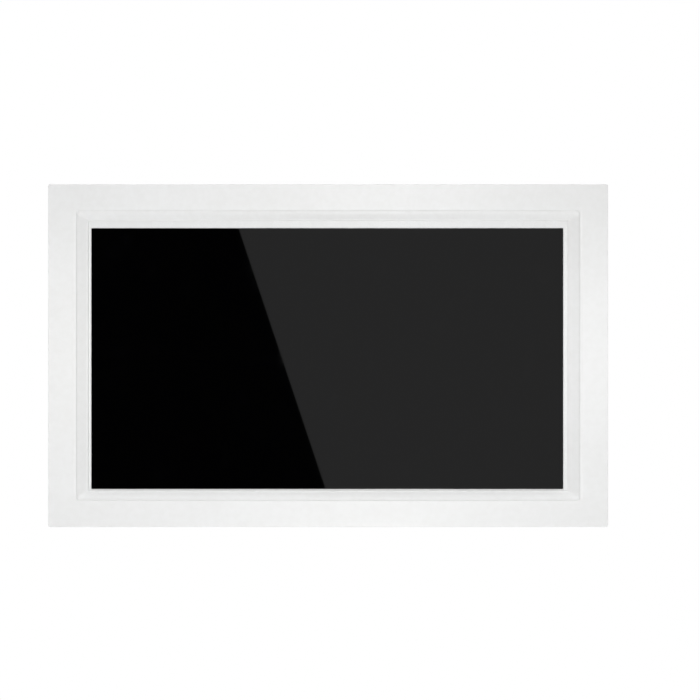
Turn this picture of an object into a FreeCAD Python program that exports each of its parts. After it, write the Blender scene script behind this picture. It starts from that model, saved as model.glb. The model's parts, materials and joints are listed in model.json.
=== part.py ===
"""Video intercom monitor: a wall-hung ten-inch touch screen in a white picture-frame moulding.

Row frame: X to the right as seen from the room, Z up, and the wall is the plane Y = 0. The room is on
the -Y side, so a depth d, measured from the wall towards the room, lies at Y = -d. The origin is the
centre of the wall plate on its wall side. Everything is in millimetres.
"""

import FreeCAD, Part
import math
import os
import Sketcher
from FreeCAD import Vector

doc = FreeCAD.newDocument("VideoIntercomMonitor")
dims = doc.addObject("Spreadsheet::Sheet", "dims")


# ---------------------------------------------------------------- sizes that carry their formula
class Size:
    """A number of millimetres together with the spreadsheet formula that gives it."""

    def __init__(self, value, formula):
        self.value = float(value)
        self.formula = formula

    def __add__(self, other):
        return Size(self.value + number(other), f"({self.formula} + {formula(other)})")

    def __radd__(self, other):
        return Size(number(other) + self.value, f"({formula(other)} + {self.formula})")

    def __sub__(self, other):
        return Size(self.value - number(other), f"({self.formula} - {formula(other)})")

    def __rsub__(self, other):
        return Size(number(other) - self.value, f"({formula(other)} - {self.formula})")

    def __mul__(self, other):
        return Size(self.value * number(other), f"({self.formula} * {formula(other)})")

    def __rmul__(self, other):
        return self * other

    def __truediv__(self, other):
        return Size(self.value / number(other), f"({self.formula} / {formula(other)})")

    def __neg__(self):
        return Size(-self.value, f"(0 - {self.formula})")


def number(size):
    """The plain number behind a Size or a number."""
    return size.value if isinstance(size, Size) else float(size)


def formula(size):
    """The spreadsheet formula behind a Size or a number."""
    return size.formula if isinstance(size, Size) else repr(round(float(size), 6))


def bind(thing, prop, size):
    """Ties one property of a document object to the spreadsheet."""
    thing.setExpression(prop, formula(size))


row = 0


def cell(alias, value, note):
    """Adds a driving dimension to the spreadsheet and returns it as a Size."""
    global row
    row += 1
    dims.set(f"A{row}", alias)
    dims.set(f"B{row}", str(value))
    dims.set(f"C{row}", note)
    dims.setAlias(f"B{row}", alias)
    return Size(value, f"dims.{alias}")


# ---------------------------------------------------------------- driving dimensions
# Decorative frame. "side" is measured in from the left and right edges, "end" from top and bottom.
frame_width = cell("frame_width", 279, "overall width of the moulding")
frame_height = cell("frame_height", 171, "overall height of the moulding")
front = cell("front", 26, "wall to the moulding's front face")
frame_back = cell("frame_back", 15, "wall to the moulding's back edge")
frame_wall = cell("frame_wall", 2.8, "thickness of the moulding's outer wall")
frame_skin = cell("frame_skin", 2.4, "thickness of the moulding's front skin")
step_side = cell("step_side", 14.2, "edge to the small step, left and right")
step_end = cell("step_end", 13.4, "edge to the small step, top and bottom")
step_drop = cell("step_drop", 0.8, "height of the small step")
step_round = cell("step_round", 0.65, "rounding of the small step's upper edge")
step_corner = cell("step_corner", 1.6, "corner radius of the small step's outline")
cove_side = cell("cove_side", 19.2, "edge to the foot of the sloped face, left and right")
cove_end = cell("cove_end", 17.5, "edge to the foot of the sloped face, top and bottom")
cove_drop = cell("cove_drop", 2.7, "fall of the sloped face")
lip_side = cell("lip_side", 20.0, "edge to the moulding's inner edge, left and right")
lip_end = cell("lip_end", 18.3, "edge to the moulding's inner edge, top and bottom")

# Screen window, a little off the moulding's centre.
window_width = cell("window_width", 235.8, "black glass opening, width")
window_height = cell("window_height", 130.5, "black glass opening, height")
window_x = cell("window_x", -0.45, "centre of the opening, sideways")
window_z = cell("window_z", -1.5, "centre of the opening, upwards")
glass_gap = cell("glass_gap", 0.15, "gap round the glass")
glass_thick = cell("glass_thick", 1.8, "cover glass thickness")
tape_thick = cell("tape_thick", 0.3, "bonding tape thickness")
seat_width = cell("seat_width", 3.0, "ledge under the glass, left and right")
seat_height = cell("seat_height", 2.0, "ledge under the glass, top and bottom")

# Depths of the stack, wall to room.
ledge = cell("ledge", 21.7, "front of the white ledge round the glass")
ledge_round = cell("ledge_round", 0.3, "rounding of the ledge's edge beside the glass")
shell_rim = cell("shell_rim", 21.2, "front of the part of the shell that the moulding covers")
lip_under = cell("lip_under", 21.75, "underside of the moulding's inner edge")
glass_seat = cell("glass_seat", 19.3, "depth of the ledge that the glass is bonded to")
display_front = cell("display_front", 17.6, "front of the display module")
display_back = cell("display_back", 12.4, "back of the display module")
gasket_thick = cell("gasket_thick", 0.5, "foam between display and shell")
joint = cell("joint", 15.2, "plane where back cover and front shell meet")
flange_thick = cell("flange_thick", 2.0, "front shell's flange")
board_front = cell("board_front", 11.2, "front face of the circuit boards")
board_thick = cell("board_thick", 1.6, "circuit board thickness")

# Housing.
case_width = cell("case_width", 262, "back cover width")
case_height = cell("case_height", 154, "back cover height")
case_back = cell("case_back", 0.6, "wall to the back cover")
case_wall = cell("case_wall", 2.2, "back cover wall")
case_corner = cell("case_corner", 6.0, "back cover corner radius")
case_round = cell("case_round", 4.0, "rounding of the back cover's rear edge")
recess_floor = cell("recess_floor", 2.4, "depth of the wall plate's recess")
flange_in = cell("flange_in", 3.0, "moulding's edge to the shell's flange")

# Display module.
display_width = cell("display_width", 235, "display module width")
display_height = cell("display_height", 143, "display module height")
display_clear = cell("display_clear", 0.4, "gap round the display module")

# Wall plate and its hooks.
plate_width = cell("plate_width", 140, "wall plate width")
plate_height = cell("plate_height", 100, "wall plate height")
plate_thick = cell("plate_thick", 1.2, "wall plate sheet thickness")
hook_x = cell("hook_x", 50, "hooks, sideways from the centre")
hook_z = cell("hook_z", 30, "hooks, upwards from the centre")
hook_width = cell("hook_width", 8, "hook width")
hook_lip = cell("hook_lip", 4.8, "height of a hook's upturned lip")
hook_reach = cell("hook_reach", 6.1, "wall to the front of a hook")
hang_travel = cell("hang_travel", 6.0, "lift that frees the monitor from its hooks")
screw_hole = cell("screw_hole", 2.25, "wall screw hole radius")
screw_hole_x = cell("screw_hole_x", 60, "wall screw holes, sideways from the centre")
screw_hole_z = cell("screw_hole_z", 40, "wall screw holes, upwards from the centre")
box_hole_x = cell("box_hole_x", 30, "flush box screw holes, sideways from the centre")
box_hole_z = cell("box_hole_z", 40, "flush box screw holes, upwards from the centre")
port_x = cell("port_x", 38, "half width of the cover's cable window")
port_low = cell("port_low", -28, "foot of the cover's cable window")
port_high = cell("port_high", 10, "top of the cover's cable window")

# Things that a hand moves.
switch_z = cell("switch_z", 54, "power switch height")
switch_travel = cell("switch_travel", 2.5, "power switch travel")
card_z = cell("card_z", 35, "memory card slot height")
reset_z = cell("reset_z", 45.2, "reset button height")

# Circuit boards: left, right, low and high edges, seen from the room.
main_left = cell("main_left", -72, "main board, left edge")
main_right = cell("main_right", 74, "main board, right edge")
main_low = cell("main_low", -8, "main board, lower edge")
main_high = cell("main_high", 56, "main board, upper edge")
power_left = cell("power_left", 84, "power board, left edge")
power_right = cell("power_right", 117, "power board, right edge")
power_low = cell("power_low", -66, "power board, lower edge")
power_high = cell("power_high", 20, "power board, upper edge")
side_left = cell("side_left", 104, "side board, left edge")
side_right = cell("side_right", 127, "side board, right edge")
side_low = cell("side_low", 26.5, "side board, lower edge")
side_high = cell("side_high", 61.5, "side board, upper edge")
inlet_left = cell("inlet_left", 10, "terminal board, left edge")
inlet_right = cell("inlet_right", 42, "terminal board, right edge")
inlet_low = cell("inlet_low", -30, "terminal board, lower edge")
inlet_high = cell("inlet_high", -11, "terminal board, upper edge")
socket_pitch = cell("socket_pitch", 14, "door sockets, centre to centre")
socket_z = cell("socket_z", 2, "door sockets, height of the row")
socket_width = cell("socket_width", 12.4, "door socket width")
socket_height = cell("socket_height", 5.8, "door socket height")
socket_length = cell("socket_length", 7, "door socket, board to mouth")

# Fasteners.
frame_screw_x = cell("frame_screw_x", 133.7, "moulding screws at the sides, sideways")
frame_screw_z = cell("frame_screw_z", 79.7, "moulding screws at top and bottom, upwards")
case_screw_x = cell("case_screw_x", 122.6, "cover screws, sideways")
case_screw_low = cell("case_screw_low", 22, "cover screws nearer the middle, upwards")
case_screw_high = cell("case_screw_high", 66, "cover screws nearer the corners, upwards")
bracket_x = cell("bracket_x", 122, "display bracket screws, sideways")
bracket_high = cell("bracket_high", 10, "upper display brackets")
bracket_low = cell("bracket_low", -44, "lower display brackets")

# Sound.
speaker_x = cell("speaker_x", -96, "loudspeaker centre, sideways")
speaker_z = cell("speaker_z", -36, "loudspeaker centre, upwards")
speaker_radius = cell("speaker_radius", 20, "loudspeaker radius")
mic_x = cell("mic_x", 66, "microphone, sideways")
mic_depth = cell("mic_depth", 8.2, "microphone, out from the wall")
doc.recompute()

FIT = 0.1  # play between pieces that only locate each other
half_case_x = case_width / 2
half_case_z = case_height / 2
inner_case_x = half_case_x - case_wall
inner_case_z = half_case_z - case_wall
cover_floor = case_back + case_wall
board_back = board_front - board_thick
flange_front = joint + flange_thick


# ---------------------------------------------------------------- outlines
class Rect:
    """A rectangle from (u0, v0) to (u1, v1), with rounded corners if radius is given."""

    def __init__(self, u0, u1, v0, v1, radius=None):
        self.u0, self.u1, self.v0, self.v1, self.radius = u0, u1, v0, v1, radius

    def draw(self, page):
        if self.radius is None:
            page.polygon([(self.u0, self.v0), (self.u1, self.v0), (self.u1, self.v1), (self.u0, self.v1)])
        else:
            page.rounded(self)


class Disc:
    """A circle."""

    def __init__(self, u, v, radius):
        self.u, self.v, self.radius = u, v, radius

    def draw(self, page):
        page.circle(self)


class Outline:
    """A closed outline with straight sides through the given points."""

    def __init__(self, points):
        self.points = points

    def draw(self, page):
        page.polygon(self.points)


def centred(width, height, u=0, v=0, radius=None):
    """A rectangle given by its size and centre."""
    return Rect(u - width / 2, u + width / 2, v - height / 2, v + height / 2, radius)


# Sketch planes: the origin plane's role, and the signs that turn (u, v) into sketch coordinates.
# "depth" sketches use (x, z), "side" sketches (depth, z) and "level" sketches (x, depth).
PLANES = {
    "depth": ("XZ_Plane", 1, 1),
    "side": ("YZ_Plane", -1, 1),
    "level": ("XY_Plane", 1, -1),
}


class Page:
    """One sketch. Its shapes are gathered first, and each size that hangs on a cell is tied to it."""

    def __init__(self, body, plane, offset, origin=(0, 0)):
        role, self.sign_u, self.sign_v = PLANES[plane]
        self.geometry, self.constraints, self.formulas = [], [], {}
        self.sketch = body.newObject("Sketcher::SketchObject", body.Name + "_sketch")
        support = next(f for f in body.Origin.OriginFeatures if f.Role == role)
        self.sketch.AttachmentSupport = [(support, "")]
        self.sketch.MapMode = "FlatFace"
        bind(self.sketch, "AttachmentOffset.Base.x", self.sign_u * origin[0])
        bind(self.sketch, "AttachmentOffset.Base.y", self.sign_v * origin[1])
        bind(self.sketch, "AttachmentOffset.Base.z", offset)

    def place(self, u, v):
        return Vector(self.sign_u * number(u), self.sign_v * number(v), 0)

    def put(self, shapes):
        """Adds shapes of geometry, and returns their indices."""
        first = len(self.geometry)
        self.geometry += shapes
        return list(range(first, len(self.geometry)))

    def tie(self, *what):
        self.constraints.append(Sketcher.Constraint(*what))

    def drive(self, kind, geometry, point, size):
        """Adds a radius, or a distance from the sketch's origin."""
        if isinstance(size, Size):
            self.formulas[len(self.constraints)] = size.formula
        if kind == "Radius":
            self.tie(kind, geometry, number(size))
        else:
            self.tie(kind, -1, 1, geometry, point, number(size))

    def drive_point(self, geometry, point, u, v):
        self.drive("DistanceX", geometry, point, self.sign_u * u)
        self.drive("DistanceY", geometry, point, self.sign_v * v)

    def polygon(self, points):
        corners = [self.place(u, v) for u, v in points]
        sides = self.put([Part.LineSegment(a, b) for a, b in zip(corners, corners[1:] + corners[:1])])
        for here, ahead in zip(sides, sides[1:] + sides[:1]):
            self.tie("Coincident", here, 2, ahead, 1)
        for side, (u, v) in zip(sides, points):
            self.drive_point(side, 1, u, v)

    def rounded(self, rect):
        """Four quarter circles joined by tangent lines, counterclockwise from the lower right."""
        low_x, high_x = (rect.u0, rect.u1) if self.sign_u > 0 else (-rect.u1, -rect.u0)
        low_y, high_y = (rect.v0, rect.v1) if self.sign_v > 0 else (-rect.v1, -rect.v0)
        r = number(rect.radius)
        left, right, low, high = number(low_x) + r, number(high_x) - r, number(low_y) + r, number(high_y) - r
        arcs = []
        for turn, (x, y) in enumerate([(right, low), (right, high), (left, high), (left, low)]):
            start = (turn - 1) * math.pi / 2
            circle = Part.Circle(Vector(x, y, 0), Vector(0, 0, 1), r)
            arcs.append(Part.ArcOfCircle(circle, start, start + math.pi / 2))
        corners = self.put(arcs)
        sides = self.put([Part.LineSegment(a.EndPoint, b.StartPoint) for a, b in zip(arcs, arcs[1:] + arcs[:1])])
        for corner, side, following in zip(corners, sides, corners[1:] + corners[:1]):
            self.tie("Tangent", corner, 2, side, 1)
            self.tie("Tangent", side, 2, following, 1)
        for other in corners[1:]:
            self.tie("Equal", corners[0], other)
        for side, kind in zip(sides, ("Vertical", "Horizontal", "Vertical", "Horizontal")):
            self.tie(kind, side)
        self.drive("Radius", corners[0], 0, rect.radius)
        self.drive("DistanceX", corners[0], 2, high_x)
        self.drive("DistanceY", corners[1], 2, high_y)
        self.drive("DistanceX", corners[2], 2, low_x)
        self.drive("DistanceY", corners[3], 2, low_y)

    def circle(self, disc):
        centre = self.place(disc.u, disc.v)
        index, = self.put([Part.Circle(centre, Vector(0, 0, 1), number(disc.radius))])
        self.drive("Radius", index, 0, disc.radius)
        self.drive_point(index, 3, disc.u, disc.v)

    def finish(self):
        """Hands everything to the sketch at once, because one by one it would solve itself every time."""
        self.sketch.addGeometry(self.geometry, False)
        self.sketch.addConstraint(self.constraints)
        for index, text in self.formulas.items():
            self.sketch.setExpression(f"Constraints[{index}]", text)
        return self.sketch


# ---------------------------------------------------------------- pieces
class Piece:
    """A PartDesign body built up from prisms, lofts and turned shapes. Its name is its file's name."""

    def __init__(self, name):
        self.body = doc.addObject("PartDesign::Body", name)
        self.body.Label = name

    def finish_feature(self, feature, grows=None):
        """Recomputes, and refuses a feature that left the solid as it was."""
        before = self.volume if hasattr(self, "volume") else 0.0
        doc.recompute()
        self.volume = self.body.Shape.Volume
        change = self.volume - before
        wrong = abs(change) < 1e-6 or (grows is not None and (change > 0) != grows)
        if wrong:
            raise RuntimeError(f"{self.body.Label}: {feature.Name} changed the volume by {change:.6f}")
        return feature

    def prism(self, kind, shapes, start, end, plane, origin):
        page = Page(self.body, plane, start, origin)
        for shape in shapes if isinstance(shapes, list) else [shapes]:
            shape.draw(page)
        feature = self.body.newObject("PartDesign::" + kind, f"{self.body.Name}_{kind.lower()}")
        feature.Profile = page.finish()
        bind(feature, "Length", end - start)
        feature.Reversed = kind == "Pocket"
        return self.finish_feature(feature, kind == "Pad")

    def add(self, shapes, start, end, plane="depth", origin=(0, 0)):
        """Material over the shapes, from start to end along the plane's own direction."""
        return self.prism("Pad", shapes, start, end, plane, origin)

    def cut(self, shapes, start, end, plane="depth", origin=(0, 0)):
        """A cut through the shapes, from start to end along the plane's own direction."""
        return self.prism("Pocket", shapes, start, end, plane, origin)

    def cut_loft(self, stations):
        """Cuts the hollow that passes through outlines given as (shape, depth), from the first to the last."""
        pages = []
        for shape, depth in stations:
            page = Page(self.body, "depth", depth)
            shape.draw(page)
            pages.append(page.finish())
        feature = self.body.newObject("PartDesign::SubtractiveLoft", self.body.Name + "_loft")
        feature.Profile = pages[0]
        feature.Sections = pages[1:]
        return self.finish_feature(feature, False)

    def turn(self, profile, x, z):
        """A solid of revolution about the line through (x, z) that runs out from the wall.

        The profile's points are (depth, radius)."""
        page = Page(self.body, "side", x, (0, z))
        page.polygon(profile)
        feature = self.body.newObject("PartDesign::Revolution", self.body.Name + "_turned")
        feature.Profile = page.finish()
        feature.ReferenceAxis = (page.sketch, ["H_Axis"])
        feature.Angle = 360
        return self.finish_feature(feature, True)

    def repeat(self, feature, axis, pitch, count):
        """Repeats one feature along X or Z, with the given pitch."""
        pattern = self.body.newObject("PartDesign::LinearPattern", self.body.Name + "_row")
        pattern.Originals = [feature]
        line = next(f for f in self.body.Origin.OriginFeatures if f.Role == axis + "_Axis")
        pattern.Direction = (line, [""])
        bind(pattern, "Length", pitch * (count - 1))
        pattern.Occurrences = count
        self.body.Tip = pattern
        return self.finish_feature(pattern)

    def dress(self, kind, prop, size, chosen):
        tip = self.body.Tip
        edges = [f"Edge{i + 1}" for i, edge in enumerate(tip.Shape.Edges) if chosen(edge.BoundBox)]
        if not edges:
            raise RuntimeError(f"{self.body.Label}: no edge to {kind.lower()}")
        feature = self.body.newObject("PartDesign::" + kind, f"{self.body.Name}_{kind.lower()}")
        feature.Base = (tip, edges)
        bind(feature, prop, size)
        return self.finish_feature(feature)

    def round(self, radius, chosen):
        """Rounds the edges whose bounding boxes are chosen."""
        return self.dress("Fillet", "Radius", radius, chosen)

    def bevel(self, size, chosen):
        """Bevels the edges whose bounding boxes are chosen."""
        return self.dress("Chamfer", "Size", size, chosen)


def at_depth(depth, within=(math.inf, math.inf)):
    """Picks edges that lie at one depth, and that stay within the given half sizes."""
    y = -number(depth)
    half_x, half_z = (number(size) for size in within)

    def chosen(box):
        if abs(box.YMin - y) > 1e-3 or abs(box.YMax - y) > 1e-3:
            return False
        reach_x, reach_z = max(abs(box.XMin), abs(box.XMax)), max(abs(box.ZMin), abs(box.ZMax))
        return reach_x < half_x and reach_z < half_z

    return chosen


def at_z(z):
    """Picks edges that lie in the plane at z."""
    return lambda box: abs(box.ZMin - number(z)) < 1e-3 and abs(box.ZMax - number(z)) < 1e-3


def discs(places, radius):
    """Equal circles at the given places."""
    return [Disc(x, z, radius) for x, z in places]


def corners_at(x, z):
    """The four places (x, z) mirrored left to right and top to bottom."""
    return [(x, z), (-x, z), (-x, -z), (x, -z)]


def bent_path(points):
    """A wire of straight runs joined by tangent arcs, each as large as its two runs allow."""
    share = 0.45
    edges, last = [], points[0]
    for before, here, after in zip(points, points[1:], points[2:]):
        to_before, to_after = before - here, after - here
        trim = share * min(to_before.Length, to_after.Length)
        start = here + to_before.normalize() * trim
        end = here + to_after.normalize() * trim
        bisector = (to_before + to_after).normalize()
        half_turn = (math.pi - to_before.getAngle(to_after)) / 2
        radius = trim / math.tan(half_turn)
        middle = here + bisector * (radius / math.cos(half_turn) - radius)
        edges.append(Part.LineSegment(last, start).toShape())
        edges.append(Part.Arc(start, middle, end).toShape())
        last = end
    edges.append(Part.LineSegment(last, points[-1]).toShape())
    return Part.Wire(edges)


def lead(points, diameter):
    """A round lead along a bent path through (x, depth, z) points."""
    path = bent_path([Vector(number(x), -number(d), number(z)) for x, d, z in points])
    first = path.Edges[0]
    start, direction = first.Vertexes[0].Point, first.tangentAt(first.FirstParameter)
    section = Part.Wire([Part.makeCircle(number(diameter) / 2, start, direction)])
    tube = path.makePipeShell([section], True, False)
    true_volume = math.pi * (number(diameter) / 2) ** 2 * path.Length
    if abs(tube.Volume / true_volume - 1) > 0.02:
        raise RuntimeError("a lead's volume is not its section times its length")
    return tube


def leads(name, routes, diameter):
    """Several leads as one sub-part."""
    bundle = doc.addObject("Part::Feature", name)
    bundle.Label = name
    bundle.Shape = Part.makeCompound([lead(route, diameter) for route in routes])
    return bundle


# ---------------------------------------------------------------- places that several pieces share
def mirrored(places):
    """The places, and the same places mirrored left to right."""
    return places + [(-x, z) for x, z in places]


FRAME_SCREWS = (
    mirrored([(frame_screw_x, z) for z in (-60, 0, 60)])
    + mirrored([(x, z) for x in (40, 110) for z in (frame_screw_z, -frame_screw_z)])
)
CASE_SCREWS = corners_at(case_screw_x, case_screw_low) + corners_at(case_screw_x, case_screw_high)
BRACKETS = mirrored([(bracket_x, bracket_high), (bracket_x, bracket_low)])
SCREW_INSET = 3.8
MAIN_SCREWS = [
    (x, z)
    for x in (main_left + SCREW_INSET, main_right - SCREW_INSET)
    for z in (main_low + SCREW_INSET, main_high - SCREW_INSET)
]
POWER_SCREWS = [(x, z) for x in (power_left + 3, power_right - 3) for z in (power_low + 4, power_high - 3.5)]
SIDE_SCREWS = [(side_left + 3.5, z) for z in (side_low + 3.5, side_high - 3.5)]
INLET_SCREWS = [(inlet_left + 3.5, inlet_low + 9.5), (inlet_right - 3.3, inlet_low + 3)]
BOARD_SCREWS = MAIN_SCREWS + POWER_SCREWS + SIDE_SCREWS + INLET_SCREWS
HOOKS = [(sign * hook_x, z) for sign in (-1, 1) for z in (hook_z, -hook_z)]

PILOT = 0.8  # radius of a small self-tapping screw and of the hole it cuts its thread in
CASE_PILOT = 1.1
SCREW_CLEAR = 1.1
FLEX_LEFT, FLEX_RIGHT = 21, 33  # the touch sensor's ribbon, sideways
FLEX_THICK = 0.3


# ---------------------------------------------------------------- moulding and screen
PLATEAU_WIDTH, PLATEAU_HEIGHT = 243, 138.4  # the raised part of the front shell, round the glass
ISLAND_WIDTH, ISLAND_HEIGHT = 254, 146  # the thick inner part of the moulding, seen from behind


def inset(side, end, radius):
    """The moulding's outline moved in from its edges."""
    return centred(frame_width - 2 * side, frame_height - 2 * end, radius=radius)


def make_decor_frame():
    """The picture-frame moulding: a flat face, a small step, a slope and a thin inner edge."""
    corner_radius, back_round, cove_corner, lip_corner = 0.8, 0.4, 0.5, 0.3
    channel_top = front - frame_skin
    step_foot = front - step_drop
    cove_foot = step_foot - cove_drop
    frame = Piece("decor_frame")
    frame.add(inset(0, 0, corner_radius), frame_back, front)
    frame.round(corner_radius, at_depth(front))
    frame.round(back_round, at_depth(frame_back))
    frame.cut(inset(step_side, step_end, step_corner), step_foot, front)
    within_step = (frame_width / 2 - step_side + 0.5, frame_height / 2 - step_end + 0.5)
    frame.round(step_round, at_depth(front, within_step))

    # The slope is straight at the sides and fuller near the step at the ends. A short steep face follows.
    belly_fall, belly_reach_end = 0.54, 0.66
    belly_side = step_side + (cove_side - step_side) * belly_fall
    belly_end = step_end + (cove_end - step_end) * belly_reach_end
    frame.cut_loft([
        (inset(step_side, step_end, step_corner), step_foot),
        (inset(belly_side, belly_end, (step_corner + cove_corner) / 2), step_foot - cove_drop * belly_fall),
        (inset(cove_side, cove_end, cove_corner), cove_foot),
    ])
    frame.cut_loft([
        (inset(cove_side, cove_end, cove_corner), cove_foot),
        (inset(lip_side, lip_end, lip_corner), lip_under),
    ])

    # Behind, it is hollow, with a deeper channel round the outside.
    hollow = centred(frame_width - 2 * frame_wall, frame_height - 2 * frame_wall)
    frame.cut(hollow, frame_back, shell_rim)
    frame.cut([hollow, centred(ISLAND_WIDTH, ISLAND_HEIGHT)], shell_rim, channel_top)
    frame.cut(centred(PLATEAU_WIDTH + 4 * FIT, PLATEAU_HEIGHT + 4 * FIT), shell_rim, lip_under)

    boss_radius, boss_root, pilot_end = 2.6, channel_top + 0.4, 22
    frame.add(discs(FRAME_SCREWS, boss_radius), flange_front, boss_root)

    # Thin ribs cross the channel between the bosses, and run a little way into its two walls.
    rib, bite = 1.2, 0.2
    rim_x, rim_z = frame_width / 2 - frame_wall + bite, frame_height / 2 - frame_wall + bite
    inner_x, inner_z = ISLAND_WIDTH / 2 + 0.5, ISLAND_HEIGHT / 2 + 2
    first = -120 - rib / 2
    for low, high in ((inner_z, rim_z), (-rim_z, -inner_z)):
        upright = frame.add(Rect(first, first + rib, low, high), flange_front, boss_root)
        frame.repeat(upright, "X", 20, 13)
    first = -45 - rib / 2
    for left, right in ((inner_x, rim_x), (-rim_x, -inner_x)):
        level = frame.add(Rect(left, right, first, first + rib), flange_front, boss_root)
        frame.repeat(level, "Z", 30, 4)
    frame.cut(discs(FRAME_SCREWS, PILOT), flange_front, pilot_end)


def make_front_shell():
    """The inner front shell: carries the glass in front, the display behind and the moulding round it."""
    pocket_width, pocket_height = display_width + 2 * display_clear, display_height + 2 * display_clear
    pocket_floor = display_front + gasket_thick
    shoulder = 19.6
    shell = Piece("front_shell")
    shell.add(centred(frame_width - 2 * flange_in, frame_height - 2 * flange_in, radius=1), joint, flange_front)
    shell.add(centred(252, 148), flange_front, shoulder)
    shell.add(centred(PLATEAU_WIDTH, PLATEAU_HEIGHT), shoulder, ledge)
    shell.cut(centred(pocket_width, pocket_height), joint, pocket_floor)
    seat = (window_width - 2 * seat_width, window_height - 2 * seat_height)
    shell.cut(centred(*seat, window_x, window_z), pocket_floor, glass_seat)
    shell.cut(centred(window_width, window_height, window_x, window_z), glass_seat, ledge)
    shell.round(ledge_round, at_depth(ledge, (PLATEAU_WIDTH / 2 - 1, PLATEAU_HEIGHT / 2 - 1)))

    # A tongue fits inside the back cover's rim, and a rib holds the display's edges.
    tongue_foot, rib_foot = 13.4, 13.0
    tongue = [
        centred(case_width - 2 * case_wall - 0.2, case_height - 2 * case_wall - 0.2, radius=3.6),
        centred(255, 147, radius=2.5),
    ]
    shell.add(tongue, tongue_foot, joint)
    shell.add([centred(239.4, 146.4), centred(pocket_width, pocket_height)], rib_foot, joint)
    shell.add(discs(CASE_SCREWS, 3.3), 8.1, joint)
    shell.cut(discs(CASE_SCREWS, CASE_PILOT), 8.1, 14)
    shell.add(discs(BRACKETS, 2.6), display_back, joint)
    shell.cut(discs(BRACKETS, PILOT), display_back, joint)
    shell.cut(discs(FRAME_SCREWS, SCREW_CLEAR), joint, flange_front)

    # Room for the touch sensor's ribbon at the lower edge.
    shell.cut(Rect(FLEX_LEFT - 1, FLEX_RIGHT + 1, -73.3, -64), pocket_floor, glass_seat)
    shell.cut(Rect(FLEX_LEFT - 1, FLEX_RIGHT + 1, -73.3, -71.5), rib_foot, pocket_floor)


def make_glass():
    """The black cover glass, the tape that holds it, and the touch sensor behind it with its ribbon."""
    tape_front = glass_seat + tape_thick
    glass_front = tape_front + glass_thick
    glass_width, glass_height = window_width - 2 * glass_gap, window_height - 2 * glass_gap
    seat = (window_width - 2 * seat_width, window_height - 2 * seat_height)
    glass = Piece("cover_glass")
    glass.add(centred(glass_width, glass_height, window_x, window_z, 0.6), tape_front, glass_front)
    glass.bevel(0.25, at_depth(glass_front))
    tape = Piece("glass_tape")
    tape.add([centred(glass_width - 0.4, glass_height - 0.4, window_x, window_z),
              centred(*seat, window_x, window_z)], glass_seat, tape_front)
    sensor = Piece("touch_sensor")
    sensor.add(centred(seat[0] - 0.6, seat[1] - 0.6, window_x, window_z), glass_seat - 0.3, tape_front)

    # The ribbon turns down behind the sensor, back round the display and up to the main board.
    low, under_board, rear = -72.9, board_front + 0.1, board_back - 0.4
    sensor_back = glass_seat - 0.5
    ribbon = Piece("touch_flex")
    ribbon.add(Outline([
        (sensor_back + FLEX_THICK - 0.1, -62.5), (sensor_back + FLEX_THICK - 0.1, low),
        (under_board, low), (under_board, main_low - 1.8),
        (rear, main_low - 1.8), (rear, main_low + 2),
        (rear + FLEX_THICK, main_low + 2), (rear + FLEX_THICK, main_low - 1.8 + FLEX_THICK),
        (under_board + FLEX_THICK, main_low - 1.8 + FLEX_THICK), (under_board + FLEX_THICK, low + FLEX_THICK),
        (sensor_back - 0.1, low + FLEX_THICK), (sensor_back - 0.1, -62.5),
    ]), FLEX_LEFT, FLEX_RIGHT, "side")


def make_display():
    """The liquid crystal module: cell, light guide, its lamps and the pressed metal round them."""
    skin, bezel_front, inner_front = 0.3, display_front, display_front - 0.4
    bezel_width, bezel_height = display_width - 2 * skin, display_height - 2 * skin
    gasket = Piece("lcd_gasket")
    gasket.add([centred(display_width - 1, display_height - 1), centred(229, 129)],
               display_front, display_front + gasket_thick)
    bezel = Piece("lcd_bezel")
    bezel.add(centred(display_width, display_height), display_back + 0.3, bezel_front)
    bezel.cut(centred(bezel_width, bezel_height), display_back + 0.3, inner_front + 0.1)
    bezel.cut(centred(225.5, 128), inner_front + 0.1, bezel_front)
    cell_piece = Piece("lcd_cell")
    cell_piece.add(centred(231, 137), inner_front - 1.4, inner_front)
    guide = Piece("backlight_guide")
    guide.add(centred(230, 132, 0, 2), display_back + 0.5, inner_front - 1.5)
    strip = Piece("backlight_strip")
    lamp_count, lamp_pitch, lamp_half, first = 31, 7, 1.5, -105
    strip.add(centred(222, 1.0, 0, -67.2), 13.2, 15.4)
    lamp = strip.add(Rect(first - lamp_half, first + lamp_half, -66.7, -64.4), 13.6, 15.0)
    strip.repeat(lamp, "X", lamp_pitch, lamp_count)
    notch = guide.cut(Rect(first - lamp_half - FIT, first + lamp_half + FIT, -64.6, -63.9), 13.4, 15.2)
    guide.repeat(notch, "X", lamp_pitch, lamp_count)
    tray = Piece("lcd_back_tray")
    tray.add(centred(bezel_width - 0.2, bezel_height - 0.2), display_back, display_back + 0.4)
    clips = Piece("lcd_brackets")
    clip_reach, clip_half = 10, 3.5
    plates = [Rect(bracket_x - clip_reach, bracket_x + 3.5, z - clip_half, z + clip_half)
              for z in (bracket_high, bracket_low)]
    plates += [Rect(-s.u1, -s.u0, s.v0, s.v1) for s in plates]
    clips.add(plates, display_back - 1, display_back)
    clips.cut(discs(BRACKETS, PILOT), display_back - 1, display_back)


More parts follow.
